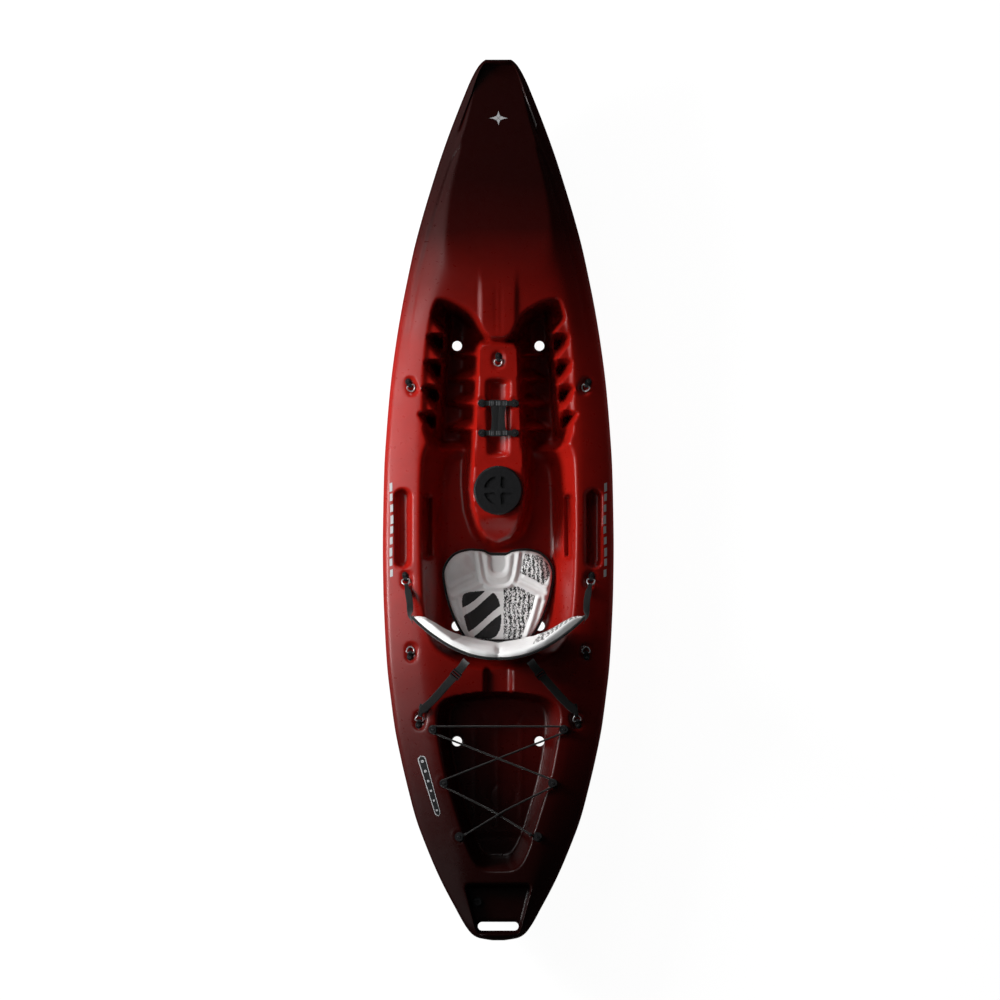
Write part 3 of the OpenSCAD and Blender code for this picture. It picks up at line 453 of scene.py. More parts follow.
def lin_deck(x, y):
    """Deck height with the straight-line tables, where fittings stand."""
    L = lambda t: float(look(y, t))
    w = L(OFF); z0 = CREST + L([[-1343, 4], [-1171, 12], [-900, 3], [-600, -2], [-300, -4], [0, -2], [300, 7], [500, 27], [620, 46], [800, 72], [1080, 104], [1230, 112], [1343, 113]])
    dr = L([[-1343, 16], [-1171, 30], [-600, 34], [300, 36], [620, 46], [900, 58], [1100, 62], [1250, 46], [1343, 14]])
    s = min(0.3 * w, L([[-1343, 12], [-900, 17], [0, 17], [600, 13], [900, 14], [1060, 30], [1250, 24], [1343, 10]]))
    c = min(0.72 * (w - s), L([[-1343, 50], [-1171, 103], [-1025, 128], [-830, 180], [-616, 208], [-460, 222], [-122, 232], [200, 234], [500, 214], [620, 196], [1080, 70], [1343, 20]]))
    cr = L([[-1343, 2], [-600, 1], [400, 2], [620, 8], [900, 12], [1200, 8], [1343, 2]])
    return float(look(abs(x), [[0, z0 + cr], [c / 2, z0 + 0.75 * cr], [c, z0], [(w - s + c) / 2, z0 - dr + 0.6 * dr], [w - s, z0 - dr]]))


PAD_Z = [p[2] if i == 0 else lin_deck(p[0], p[1]) - 7.5 for i, p in enumerate(PAD)]
HOOK_Z = [lin_deck(h[0], h[1]) - 2.4 for h in HOOK]


def section(y):
    """Dense smooth half section at station y: deck centre to gunwale, gunwale to keel."""
    w, s, c = float(hw(y)), float(sh(y)), float(xc(y))
    z0, dr, z1, zg0, b, g, cr = float(zc(y)), float(drop(y)), float(zs(y)), float(zg(y)), float(zb(y)), float(gr(y)), float(crown(y))
    h = zg0 - b
    top = [[0, z0 + cr], [c / 2, z0 + 0.75 * cr], [c, z0], [(w - s + c) / 2, z1 + 0.6 * dr], [w - s, z1], [w - 0.45 * s, zg0 + 0.6 * (z1 - zg0)], [w, zg0]]
    low = [[0.98 * w, b + 0.6 * h], [0.93 * w, b + 0.27 * h], [0.82 * w, b + 0.09 * h], [0.62 * w, b], [0.4 * w, b], [0.33 * w, b + g], [0.22 * w, b + g], [0.17 * w, b], [0, b]]
    P = np.array([[-c / 2, z0 + 0.75 * cr]] + top + low + [[-0.17 * w, b]])
    D = chaikin(P, 4)
    D = D[(D[:, 0] >= -1e-6)]
    i = int(np.argmax(D[:, 0]))
    D[:, 0] *= w / D[i, 0]
    T, B = D[: i + 1].copy(), D[i:].copy()
    T[0, 0] = 0; B[-1, 0] = 0
    return T, B


def pit(A, Y, top, z1, low, z0, kf, ext=-400):
    t = chaikin([[ext, top[0][1]]] + top + [[ext, top[-1][1]]], 2)
    b = chaikin([[ext, low[0][1]]] + low + [[ext, low[-1][1]]], 2)
    dt, db = sdf(A, Y, t), sdf(A, Y, b)
    r = db / np.maximum(db - dt, 4.0)
    r = np.minimum(r, 1 + np.maximum(dt, 0) / 18.0 * 1.0 + 0.0) if False else r
    return smax(np.full(A.shape, float(z0)), z0 + (z1 - z0) * np.clip(r, -1, 3), kf)


def carve(X, Y, Z):
    """Every recess, rib and raised area of the deck, from the plain deck height Z."""
    A = np.abs(X)
    w = hw(Y)
    # foredeck: raised centre spine, side panels let in behind a lip
    spine_w = np.where(Y > 764, 42.5, 42.5 + 13.5 * sstep((764 - Y) / 17.0))
    spine = sstep((spine_w - A) / 6.0 + 0.5) * sstep((Y - 470) / 14.0) * sstep((1112 - Y) / 14.0)
    panel = [[30, 1112], [54.7, 1108], [100, 1092], [129, 1070], [144, 1043], [156, 1010], [180, 936], [212, 828], [240, 720], [266, 600], [282, 500], [290, 430], [262, 380], [250, 200], [0, 200], [0, 1112]]
    pd = sdf(A, Y, panel)
    pan = sstep(-pd / 7.0)
    fade = sstep((Y - 380) / 170.0)
    Z = Z - 4.6 * pan * fade * (0.35 + 0.65 * sstep((Y - 560) / 240.0))
    # groove at the panel's edge, where the lip turns down
    Z = Z - 1.8 * np.exp(-((pd + 5.0) / 4.5) ** 2) * fade
    Z = Z + 6.5 * spine
    # shallow hollow down the middle of the spine
    Z = Z - 1.2 * np.exp(-(X / 24.0) ** 2) * sstep((Y - 520) / 60.0) * sstep((900 - Y) / 160.0)
    # bow: flat top with soft shoulders on both sides of it
    bowedge = look(Y, [[1000, 200], [1104, 108], [1149, 88], [1220, 62], [1305, 43], [1343, 36]])
    Z = Z - 7.5 * sstep((A - bowedge) / 16.0) * sstep((Y - 1100) / 40.0) * sstep((1338 - Y) / 10.0)
    zrim = Z.copy()
    # cockpit
    fw = pit(A, Y, FW_T, 330, FW_B, 52, 34)
    sw = pit(A, Y, SW_T, 232, SW_B, 82, 34)
    # the forward end of the footwells runs in under the deck: steep there
    cut = smin(fw, sw, 14)
    Z = smin(Z, cut, 13)
    # side shelf with the steps for the feet, and the leaf-shaped hollows behind them
    rim = sdf(A, Y, chaikin([[-400, 640], [160, 634], [203, 622], [226, 494], [241, 367], [247, 205], [247, 150], [-400, 150]], 1))
    shelf_in = look(Y, [[150, 186], [240, 184], [330, 178], [420, 171], [520, 163], [600, 160]])
    shelf = 150 + 0.55 * (A - shelf_in) + 6.5 * np.minimum(A - shelf_in, 0)
    shelf = smin(shelf, 96 + 1.4 * (Y - 205), 20)
    shelf = smin(shelf, 96 + 1.6 * (596 - Y), 20)
    ins = rim < -2
    Z = np.where(ins & (A > 120) & (Y > 180), smax(Z, np.minimum(shelf, 186), 14), Z)
    for i in range(4):
        y0 = 507 - 78.4 * i
        x0 = 215 + 8.3 * i
        zt = STEP_Z[i]
        top = [[x0 + 30, y0 - 1], [x0, y0 - 1], [x0 - 50, y0 - 3], [x0 - 49, y0 + 5], [x0 - 10, y0 + 52], [x0 + 8, y0 + 68], [x0 + 30, y0 + 68]]
        low = [[x0 + 34, y0 - 6], [x0, y0 - 6], [x0 - 56, y0 - 8], [x0 - 58, y0 + 4], [x0 - 19, y0 + 56], [x0 + 3, y0 + 78], [x0 + 34, y0 + 78]]
        dt, dl = sdf(A, Y, top), sdf(A, Y, low)
        h = zt - (zt - 110) * dt / np.maximum(dt - dl, 3.0)
        h = smin(np.full(X.shape, zt), h, 6)
        Z = np.where(ins & (dl < 0), smax(Z, smin(h, zrim - 3.0 - 0 * X, 4), 5), Z)
        leaf = sdf(A, Y, chaikin([[x0 - 44, y0 - 11], [x0 - 20, y0 - 9], [x0 - 1, y0 - 7], [x0 - 3, y0 - 12], [x0 - 13, y0 - 27], [x0 - 26, y0 - 47], [x0 - 38, y0 - 55], [x0 - 49, y0 - 53], [x0 - 50, y0 - 30]], 2, True))
        Z = np.where((leaf < 3) & (rim < -6), smin(Z, 96 + 150 * np.clip((leaf + 6) / 7.0, 0, 3), 6), Z)
    # console
    dT, dB = sdf(A, Y, [[-400, 476]] + CO_T + [[-400, -124]]), sdf(A, Y, [[-400, 560]] + CO_B + [[-400, -160]])
    r = dT / np.maximum(dT - dB, 6.0)
    h = np.interp(r, [-1, 0, 0.32, 1.0, 1.6], [570, 226, 118, 44, 0])
    prof = soft_table([[-200, 140], [-130, 160], [-90, 178], [-52, 205], [112, 205], [480, 222], [700, 232]], 12)(Y)
    con = smin(h, prof, 16)
    Z = smax(Z, con, 26)
    # heel ribs: wedges that rise to a flat rear edge at the console
    for i in range(4):
        y0 = 434 - 75 * i; x0 = 80 + 3.2 * i; sz = 1.0 + 0.05 * i
        q = [[x0 - 30, y0 - 2], [x0 - 30, y0 + 44], [x0 + 8, y0 + 42], [x0 + 62 * sz, y0 + 12], [x0 + 60 * sz, y0 + 6]]
        d = sdf(A, Y, q)
        fall = -((A - x0 - 8) * 0.512 + (Y - y0 - 42) * 0.859)
        ridge = np.minimum(72 + 3.3 * fall, 190 - 0.75 * (A - x0))
        ridge = smin(ridge, np.full(X.shape, 186.0), 8)
        ridge = ridge * np.clip(-d / 6.0 + 0.3, 0, 1) + 52 * (1 - np.clip(-d / 6.0 + 0.3, 0, 1))
        Z = np.where(d < 4, smax(Z, ridge, 8), Z)
    # bottle trough
    dtr = sdf(A, Y, [[-50, 128], [34, 128], [34, 372], [-50, 372]])
    zt = 226 - np.sqrt(np.maximum(38.0**2 - np.minimum(A, 36.5) ** 2, 1))
    zt = zt + 26 * sstep((Y - 352) / 20.0) ** 2 + 26 * sstep((148 - Y) / 20.0) ** 2
    Z = np.where(dtr < 8, smin(Z, zt + 5 * np.maximum(dtr + 2, 0), 5), Z)
    # hatch seat
    rh = np.hypot(X, Y - 29.6)
    Z = np.where(rh < 79, CON_Z, Z)
    Z = np.where((rh >= 79) & (rh < 90), CON_Z + (Z - CON_Z) * sstep((rh - 79) / 11.0), Z)
    # tank well
    tw = pit(A, Y, TW_T, 232, TW_B, 122, 16)
    # floor figures of the tank well
    fl = np.zeros(X.shape)
    groove = lambda d, wd=3.2: np.exp(-(d / wd) ** 2)
    fl -= 2.2 * groove(np.hypot(X - 14, Y + 903) - 38)
    fl -= 2.0 * groove(np.hypot(X + 30, Y + 815) - 190) * (Y > -800) * (X > -20)
    fl -= 2.0 * groove(np.hypot(X - 10, Y + 640) - 62) * (Y < -650)
    fl += 2.4 * groove(Y + 1010 + 0.0004 * X**2, 4.0)
    fl -= 2.4 * groove(Y + 1028 + 0.0004 * X**2, 3.6)
    for xr in (-70, 0, 70):
        fl += 1.6 * groove(X - xr, 5.0) * sstep((Y + 1000) / 12.0) * sstep((-670 - Y) / 12.0)
    tw = tw + fl * sstep((150 - tw) / 20.0)
    Z = smin(Z, tw, 11)
    # channel through the bulkhead behind the seat
    dch = sdf(A, Y, [[-60, -500], [40, -500], [40, -600], [-60, -600]])
    Z = smin(Z, 212 + 20 * np.clip((dch + 5) / 7.0, 0, 4), 5)
    # side grips
    for (gx, y0, y1, gw, gz, run) in ((292, -201, 27, 17.5, 178, 9.0), (213, -176, 14, 7.6, 132, 8.0)):
        d = seg(A, Y, (gx, y0 + gw), (gx, y1 - gw)) - gw
        hgt = 54.0 if gx > 250 else 100.0
        Z = np.where(d < 14, smin(Z, smax(np.full(X.shape, float(gz)), gz + hgt * (d / run), 12), 9), Z)
    # bow pocket
    dt, db = sdf(A, Y, [[-60, 1314], [30, 1314], [36, 1306], [50, 1268], [46, 1256], [-60, 1254]]), sdf(A, Y, [[-60, 1306], [27, 1306], [40, 1270], [36, 1263], [-60, 1262]])
    Z = smin(Z, smax(np.full(X.shape, 300.0), 300 + 70 * np.clip(db / np.maximum(db - dt, 3), -1, 2), 8), 7)
    # stern pan
    dt, db = sdf(A, Y, [[-90, -1168], [96, -1168], [106, -1176], [70, -1326], [-90, -1326]]), sdf(A, Y, [[-90, -1182], [86, -1182], [93, -1190], [60, -1318], [-90, -1318]])
    Z = smin(Z, smax(np.full(X.shape, PAN_Z), PAN_Z + 57 * np.clip(db / np.maximum(db - dt, 3), -1, 3), 10), 8)
    # soft edge round the stern slot
    ds = seg(X, Y, (-49, -1300), (49, -1300)) - 13.2
    Z = Z - 5 * (1 - np.clip(ds / 9.0, 0, 1)) ** 2
    # seats of the deck rings
    for i, (px, py, _, a) in enumerate(PAD):
        t = math.radians(a)
        d = seg(X, Y, (px, py), (px + 20 * math.cos(t), py + 20 * math.sin(t))) - 15.4
        Z = np.where(d < 9, smin(Z, smax(np.full(X.shape, PAD_Z[i]), PAD_Z[i] + 22 * d / 8.1, 3), 3), Z)
    for s in (-1, 1):
        for (px, py), pz in zip(HOOK, HOOK_Z):
            d = np.hypot(X - s * px, Y - py) - 19
            Z = np.where(d < 1.5, smin(Z, smax(np.full(X.shape, pz), pz + 4.3 * d, 1.5), 2), Z)
            # collar round the hook's seat
            Z = Z + 1.6 * np.exp(-((d - 2.5) / 2.6) ** 2) * (Z > 215)
        for px, py in ANCH:
            d = np.hypot(X - s * px, Y - py) - 16
            Z = np.where(d < 3, smin(Z, smax(np.full(X.shape, ANCH_Z), ANCH_Z + 4.3 * d, 2), 3), Z)
    # mouths of the scupper tubes and of the drain
    for px, py, pz in SCUP:
        d = np.hypot(A - px, Y - py) - 15
        Z = Z - 3 * (1 - np.clip(d / 7.0, 0, 1)) ** 2
    dd = np.hypot(X + 63, Y + 1226)
    Z = np.where(dd < 17, PAN_Z, Z)
    return Z


def build_hull():
    rows = np.concatenate([np.arange(-1343.1, -1320, 3.2), np.arange(-1319, -1160, 4.6), np.arange(-1157, 640, 4.7), np.arange(642, 1240, 9.0), np.arange(1242, 1330, 4.4), np.arange(1331, 1343, 3.2), [1343.1]])
    NI, NR, NB = 61, 7, 20
    u = np.linspace(0, 1, NI)
    X = np.zeros((len(rows), 2 * (NI + NR) - 1)); Z = np.zeros_like(X)
    Bx = np.zeros((len(rows), NB)); Bz = np.zeros_like(Bx)
    for i, y in enumerate(rows):
        T, B = section(y)
        w, s = float(hw(y)), float(sh(y))
        xi = u * (w - s * 1.02)
        zi = np.interp(xi, T[:, 0], T[:, 1])
        k = int(np.searchsorted(T[:, 0], w - s * 1.02))
        R = np.vstack([[xi[-1], zi[-1]], T[k:]])
        L = np.concatenate([[0], np.cumsum(np.hypot(*np.diff(R, axis=0).T))])
        q = np.linspace(0, L[-1], NR + 1)[1:]
        xr, zr = np.interp(q, L, R[:, 0]), np.interp(q, L, R[:, 1])
        xs, zz = np.concatenate([xi, xr]), np.concatenate([zi, zr])
        L = np.concatenate([[0], np.cumsum(np.hypot(*np.diff(B, axis=0).T))])
        q = L[-1] * np.linspace(0, 1, NB + 1)[1:] ** 1.0
        bx, bz = np.interp(q, L, B[:, 0]), np.interp(q, L, B[:, 1])
        # ends: the section closes round a soft nose
        e = 1343.5 - abs(y)
        rr = 13.0
        f = math.sqrt(max(0.0, 1 - (1 - min(e, rr) / rr) ** 2)) if e < rr else 1.0
        f = max(f, 0.12)
        g0 = float(zg(y))
        zz = g0 + (zz - g0) * f
        bz = g0 + (bz - g0) * f
        X[i] = np.concatenate([-xs[::-1], xs[1:]])
        Z[i] = np.concatenate([zz[::-1], zz[1:]])
        Bx[i], Bz[i] = bx, bz
    Yg = np.repeat(rows[:, None], X.shape[1], 1)
    Zc = carve(X, Yg, Z)
    for _ in range(1):
        Zc[1:-1, :] = 0.25 * Zc[:-2, :] + 0.5 * Zc[1:-1, :] + 0.25 * Zc[2:, :]
        Zc[:, 1:-1] = 0.25 * Zc[:, :-2] + 0.5 * Zc[:, 1:-1] + 0.25 * Zc[:, 2:]
    inner = np.zeros(X.shape[1], bool); inner[NR: X.shape[1] - NR] = True
    edge = np.where(np.abs(X) < (hw(Yg) - sh(Yg) * 1.02) - 1, 1.0, 0.0)
    endf = sstep((1343.5 - np.abs(Yg) - 6) / 10.0)
    Z = np.where(inner[None, :], Z + (Zc - Z) * np.clip(endf, 0, 1), Z)
    nr, nc = X.shape
    V = [np.stack([X, Yg, Z], -1).reshape(-1, 3)]
    idx = np.arange(nr * nc).reshape(nr, nc)
    # bottom vertices from starboard gunwale round the keel to port
    bx = np.concatenate([Bx, -Bx[:, -2::-1]], 1); bz = np.concatenate([Bz, Bz[:, -2::-1]], 1)
    nb = bx.shape[1]
    V.append(np.stack([bx, np.repeat(rows[:, None], nb, 1), bz], -1).reshape(-1, 3))
    bidx = nr * nc + np.arange(nr * nb).reshape(nr, nb)
    F = []
    a, b, c, d = idx[:-1, :-1], idx[:-1, 1:], idx[1:, 1:], idx[1:, :-1]
    F.append(np.stack([a, b, c, d], -1).reshape(-1, 4))
    full = np.concatenate([idx[:, -1:], bidx, idx[:, :1]], 1)
    a, b, c, d = full[:-1, :-1], full[:-1, 1:], full[1:, 1:], full[1:, :-1]
    F.append(np.stack([a, b, c, d], -1).reshape(-1, 4))
    F = [list(q) for q in np.concatenate(F)]
    V = np.concatenate(V)
    for row, flip in ((0, True), (nr - 1, False)):
        loop = list(idx[row]) + list(bidx[row])
        ctr = V[loop].mean(0)
        ci = len(V)
        V = np.vstack([V, ctr])
        for j in range(len(loop)):
            p, q = loop[j], loop[(j + 1) % len(loop)]
            F.append([ci, q, p] if flip else [ci, p, q])
    return V, F


def prism(name, pts, z0, z1):
    n = len(pts)
    v = [[*p, z0] for p in pts] + [[*p, z1] for p in pts]
    f = [list(range(n))[::-1], list(range(n, 2 * n))] + [[i, (i + 1) % n, n + (i + 1) % n, n + i] for i in range(n)]
    me = bpy.data.meshes.new(name)
    me.from_pydata((np.asarray(v, float) / 1000).tolist(), [], f)
    me.update()
    return me


def ring_pts(x, y, r, n):
    return [[x + r * math.cos(2 * math.pi * k / n), y + r * math.sin(2 * math.pi * k / n)] for k in range(n)]


def oblong(cx, cy, l, r, n):
    out = []
    for k in range(n):
        a = 2 * math.pi * (k + 0.5) / n - math.pi / 2
        out.append([cx + (l / 2 if math.cos(a) > 0 else -l / 2) + r * math.cos(a), cy + r * math.sin(a)])
    return out


V, F = build_hull()
hull = mesh("hull_skin", V, F, M_HULL)
import bmesh
bm = bmesh.new(); bm.from_mesh(hull.data)
bmesh.ops.recalc_face_normals(bm, faces=bm.faces)
bm.to_mesh(hull.data); bm.free()
cutters = []
for s in (-1, 1):
    for px, py, pz in SCUP:
        cutters.append(prism("c", ring_pts(s * px, py, 15.0, 40), -10, pz + 40))
cutters.append(prism("c", ring_pts(0, 29.6, 64.2, 72), 84, 240))
cutters.append(prism("c", ring_pts(-63, -1226, 11.2, 32), 180, 240))
cutters.append(prism("c", oblong(0, -1300, 98, 13.2, 40), 40, 300))
cm = bpy.data.meshes.new("cut")
cb = bmesh.new()
for c in cutters:
    cb.from_mesh(c)
bmesh.ops.recalc_face_normals(cb, faces=cb.faces)
cb.to_mesh(cm); cb.free()
cut = bpy.data.objects.new("cut", cm)
sc.collection.objects.link(cut)
md = hull.modifiers.new("b", "BOOLEAN")
md.operation = "DIFFERENCE"; md.object = cut; md.solver = "MANIFOLD"
dg = bpy.context.evaluated_depsgraph_get()
res = bpy.data.meshes.new_from_object(hull.evaluated_get(dg), depsgraph=dg)
print("HULL", len(hull.data.polygons), "->", len(res.polygons))
if len(res.polygons) > 1000:
    hull.modifiers.clear()
    hull.data = res
    # crisp mouths of the bores, smooth skin elsewhere
    hull.data.polygons.foreach_set("use_smooth", [True] * len(hull.data.polygons))
    hull.data.set_sharp_from_angle(angle=math.radians(50))
bpy.data.objects.remove(cut)
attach(hull, "kayak"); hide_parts("kayak_hull")

# ---------------------------------------------------------------- finish of the carried-over fittings
NODE_MATS = {"hatch_rim": M_BLACK, "hatch_bucket": M_BUCKET, "hatch_oring": M_SEAL, "hatch_lid": M_LID, "drain_bushing": M_BLACK, "drain_washer": M_SEAL,
             "drain_plug": M_BLACK, "padeyes": M_BLACK, "bungee_hooks": M_BLACK, "strap_anchors": M_BLACK, "bottle_strap": M_RUBBER, "backrest_stiffener": M_BLACK,
             "buckle_left": M_BLACK, "buckle_right": M_BLACK, "rear_web_left": M_WEB, "rear_web_right": M_WEB, "seat_hinge_strip": M_BIND, "bungee_knots": M_CORD,
             "seat_pad_binding": M_BIND, "backrest_binding": M_BIND}
for name, o in frame["nodes"].items():
    m = NODE_MATS.get(name)
    if m is None:
        m = M_SCREW if "screw" in name else M_STEEL if name.startswith("ring_") else M_WEB
    o.data.materials.clear()
    o.data.materials.append(m)

# ---------------------------------------------------------------- surface points, tubes, ribbons


def deck_at(x, y):
    """Height of the finished deck at points x, y."""
    x, y = np.atleast_1d(np.asarray(x, float)), np.atleast_1d(np.asarray(y, float))
    z = np.zeros(len(x))
    for i in range(len(x)):
        T, _ = section(float(y[i]))
        z[i] = np.interp(abs(x[i]), T[:, 0], T[:, 1])
    return carve(x[None, :], y[None, :], z[None, :])[0]


def smooth_path(P, step=3.0, closed=False):
    """Catmull-Rom through the points, resampled at even steps."""
    P = np.asarray(P, float)
    Q = np.vstack([P[-1:], P, P[:2]]) if closed else np.vstack([2 * P[0] - P[1], P, 2 * P[-1] - P[-2]])
    out = []
    for i in range(1, len(Q) - 2):
        a, b, c, d = Q[i - 1], Q[i], Q[i + 1], Q[i + 2]
        for t in np.linspace(0, 1, 12, endpoint=False):
            out.append(0.5 * ((2 * b) + (c - a) * t + (2 * a - 5 * b + 4 * c - d) * t**2 + (3 * b - a - 3 * c + d) * t**3))
    out.append(out[0] if closed else P[-1])
    out = np.array(out)
    L = np.concatenate([[0], np.cumsum(np.linalg.norm(np.diff(out, axis=0), axis=1))])
    n = max(4, int(L[-1] / step))
    q = np.linspace(0, L[-1], n + 1)
    R = np.stack([np.interp(q, L, out[:, k]) for k in range(3)], 1)
    return R[:-1] if closed else R


def tube(name, P, rad, mat, sides=10, closed=False, flat=1.0, up=(0.03, 0.05, 1), **kw):
    """Round or flattened tube along a path; flat scales it across the up direction."""
    P = np.asarray(P, float)
    n = len(P)
    T = np.roll(P, -1, 0) - np.roll(P, 1, 0) if closed else np.gradient(P, axis=0)
    T /= np.maximum(np.linalg.norm(T, axis=1, keepdims=True), 1e-9)
    up = np.asarray(up, float)
    ups = np.repeat(up[None], n, 0) if up.ndim == 1 else up
    S = np.cross(T, ups); S /= np.maximum(np.linalg.norm(S, axis=1, keepdims=True), 1e-9)
    U = np.cross(S, T)
    V = []
    r = np.broadcast_to(np.asarray(rad, float), (n,))
    for k in range(sides):
        a = 2 * math.pi * k / sides
        V.append(P + r[:, None] * (math.cos(a) * S + flat * math.sin(a) * U))
    V = np.stack(V, 1).reshape(-1, 3)
    F = []
    m = n if closed else n - 1
    for i in range(m):
        j = (i + 1) % n
        for k in range(sides):
            q = (k + 1) % sides
            F.append([i * sides + k, i * sides + q, j * sides + q, j * sides + k])
    if not closed:
        F.append(list(range(sides))[::-1]); F.append([(n - 1) * sides + k for k in range(sides)])
    return mesh(name, V, F, mat, **kw)


def ribbon(name, P, width, thick, side, mat, **kw):
    """Flat strap: widths and side vectors per point, rounded edges, a slight crown."""
    P = np.asarray(P, float); n = len(P)
    T = np.gradient(P, axis=0); T /= np.linalg.norm(T, axis=1, keepdims=True)
    S = np.asarray(side, float)
    S = np.repeat(S[None], n, 0) if S.ndim == 1 else S
    S = S - (S * T).sum(1, keepdims=True) * T
    S /= np.linalg.norm(S, axis=1, keepdims=True)
    N = np.cross(S, T)
    w = np.broadcast_to(np.asarray(width, float), (n,))
    prof = []
    for u in (-1, -0.9, -0.6, -0.2, 0.2, 0.6, 0.9, 1):
        prof.append((u, thick * (0.5 if abs(u) < 0.95 else 0.12)))
    for u in (1, 0.9, 0.6, 0.2, -0.2, -0.6, -0.9, -1):
        prof.append((u, -thick * (0.5 if abs(u) < 0.95 else 0.12)))
    V = np.stack([P + (0.5 * w * u)[:, None] * S + (h + 0.25 * (1 - u * u)) * N for u, h in prof], 1).reshape(-1, 3)
    m = len(prof); F = []
    for i in range(n - 1):
        for k in range(m):
            q = (k + 1) % m
            F.append([i * m + k, i * m + q, (i + 1) * m + q, (i + 1) * m + k])
    F.append(list(range(m))[::-1]); F.append([(n - 1) * m + k for k in range(m)])
    return mesh(name, V, F, mat, **kw)


def fix_normals(o):
    b = bmesh.new(); b.from_mesh(o.data)
    bmesh.ops.recalc_face_normals(b, faces=b.faces)
    b.to_mesh(o.data); b.free()
    return o

# ---------------------------------------------------------------- padded seat


def pad_material(name):
    m, n, l, b = new_mat(name)
    v = coords(n, l)
    soft = noise(n, l, v, 38, 3)
    base = mix_col(n, l, soft, (0.80, 0.80, 0.795), (0.90, 0.90, 0.895))
    weave = noise(n, l, v, 1500, 1)
    base = mix_col(n, l, remap(n, l, weave, 0.35, 0.65, 0.0, 0.10), base, (0.55, 0.55, 0.55))
    # printed marks: bold slanted bands, and broken strokes
    at = n.new("ShaderNodeAttribute"); at.attribute_name = "band"
    edge = noise(n, l, v, 260, 3)
    sd = math_node(n, l, "ADD", at.outputs["Fac"], remap(n, l, edge, 0, 1, -2.2, 2.2))
    black1 = remap(n, l, sd, -0.5, 0.5, 1, 0)
    at2 = n.new("ShaderNodeAttribute"); at2.attribute_name = "marks"
    v2 = coords(n, l, (1.0, 0.62, 1.0))
    strokes = noise(n, l, v2, 185, 2, 0.6, 1.6)
    lines = n.new("ShaderNodeTexWave"); lines.inputs["Scale"].default_value = 22; lines.inputs["Distortion"].default_value = 5
    lines.inputs["Detail"].default_value = 2
    l.new(v, lines.inputs["Vector"])
    st = math_node(n, l, "ADD", strokes, remap(n, l, lines.outputs["Fac"], 0, 1, -0.07, 0.07))
    s1 = remap(n, l, st, 0.475, 0.505, 0, 1)
    inside = remap(n, l, at2.outputs["Fac"], -1.0, 1.0, 1, 0)
    black2 = math_node(n, l, "MULTIPLY", s1, inside)
    black = math_node(n, l, "MAXIMUM", black1, black2)
    col = mix_col(n, l, black, base, (0.011, 0.011, 0.012))
    l.new(col, b.inputs["Base Color"])
    l.new(remap(n, l, soft, 0, 1, 0.48, 0.62), b.inputs["Roughness"])
    b.inputs["Sheen Weight"].default_value = 0.15
    fine = noise(n, l, v, 1100, 2)
    bump(n, l, b, math_node(n, l, "ADD", math_node(n, l, "MULTIPLY", fine, 0.5), soft), 0.22, 0.0008)
    return m


M_PAD = pad_material("pad_foam")
SEAT = [[0, -166], [30, -166], [40, -158], [52, -155], [92, -152], [128, -162], [150, -182], [163, -206], [167, -228], [158, -284], [145, -328], [131, -364], [113, -398], [96, -424], [58, -427], [0, -428]]
SEAT_Z = 82.0


def ridge(d, wd, h, moat=0.45):
    return h * (np.exp(-(d / wd) ** 2) - moat * np.exp(-((d - 2.1 * wd) / (0.8 * wd)) ** 2))


def seat_height(x, y):
    a = np.abs(x)
    z = 102 + 11 * np.minimum(a / 170, 1) ** 2 + 4 * sstep((y + 215) / 40)
    # front thigh lobes
    lobe = chaikin([[66, -222], [92, -160], [128, -168], [152, -196], [156, -234], [136, -252], [84, -222]], 2, True)
    d = sdf(a, y, lobe)
    z = z + 8.5 * sstep(-d / 26.0) - 1.5 * np.exp(-((d - 2) / 4.0) ** 2)
    # the raised lines
    u = line_d(a, y, chaikin([[63, -156], [56, -205], [48, -250], [28, -266], [0, -268]], 2))
    z = z + ridge(u, 5.5, 4.6)
    di = line_d(a, y, [[54, -256], [90, -272], [138, -296]])
    z = z + ridge(di, 5.5, 4.2)
    d2 = line_d(a, y, [[80, -232], [112, -246], [146, -268]])
    z = z + ridge(d2, 5.0, 3.6)
    # front centre: hollow with a rounded step round it
    hol = sdf(a, y, chaikin([[-60, -150], [25, -150], [29, -196], [20, -220], [0, -226], [-60, -226]], 2))
    z = z - 6.5 * sstep((3 - hol) / 9.0) * sstep((y + 236) / 8)
    out = sdf(a, y, chaikin([[-60, -140], [44, -140], [40, -214], [28, -238], [0, -244], [-60, -244]], 2))
    z = z + 3.0 * np.exp(-((out + 6) / 7.0) ** 2)
    # side rails down to the backrest and the rear handle line
    rail = line_d(a, y, [[121, -300], [104, -362], [80, -430]])
    z = z + ridge(rail, 6.0, 4.4)
    hand = line_d(a, y, chaikin([[45, -428], [43, -400], [34, -391], [0, -390]], 2))
    z = z + ridge(hand, 3.0, 2.6)
    # broad hollow of the seat
    z = z - 4.0 * np.exp(-((a / 70.0) ** 2 + ((y + 345) / 60.0) ** 2))
    return z


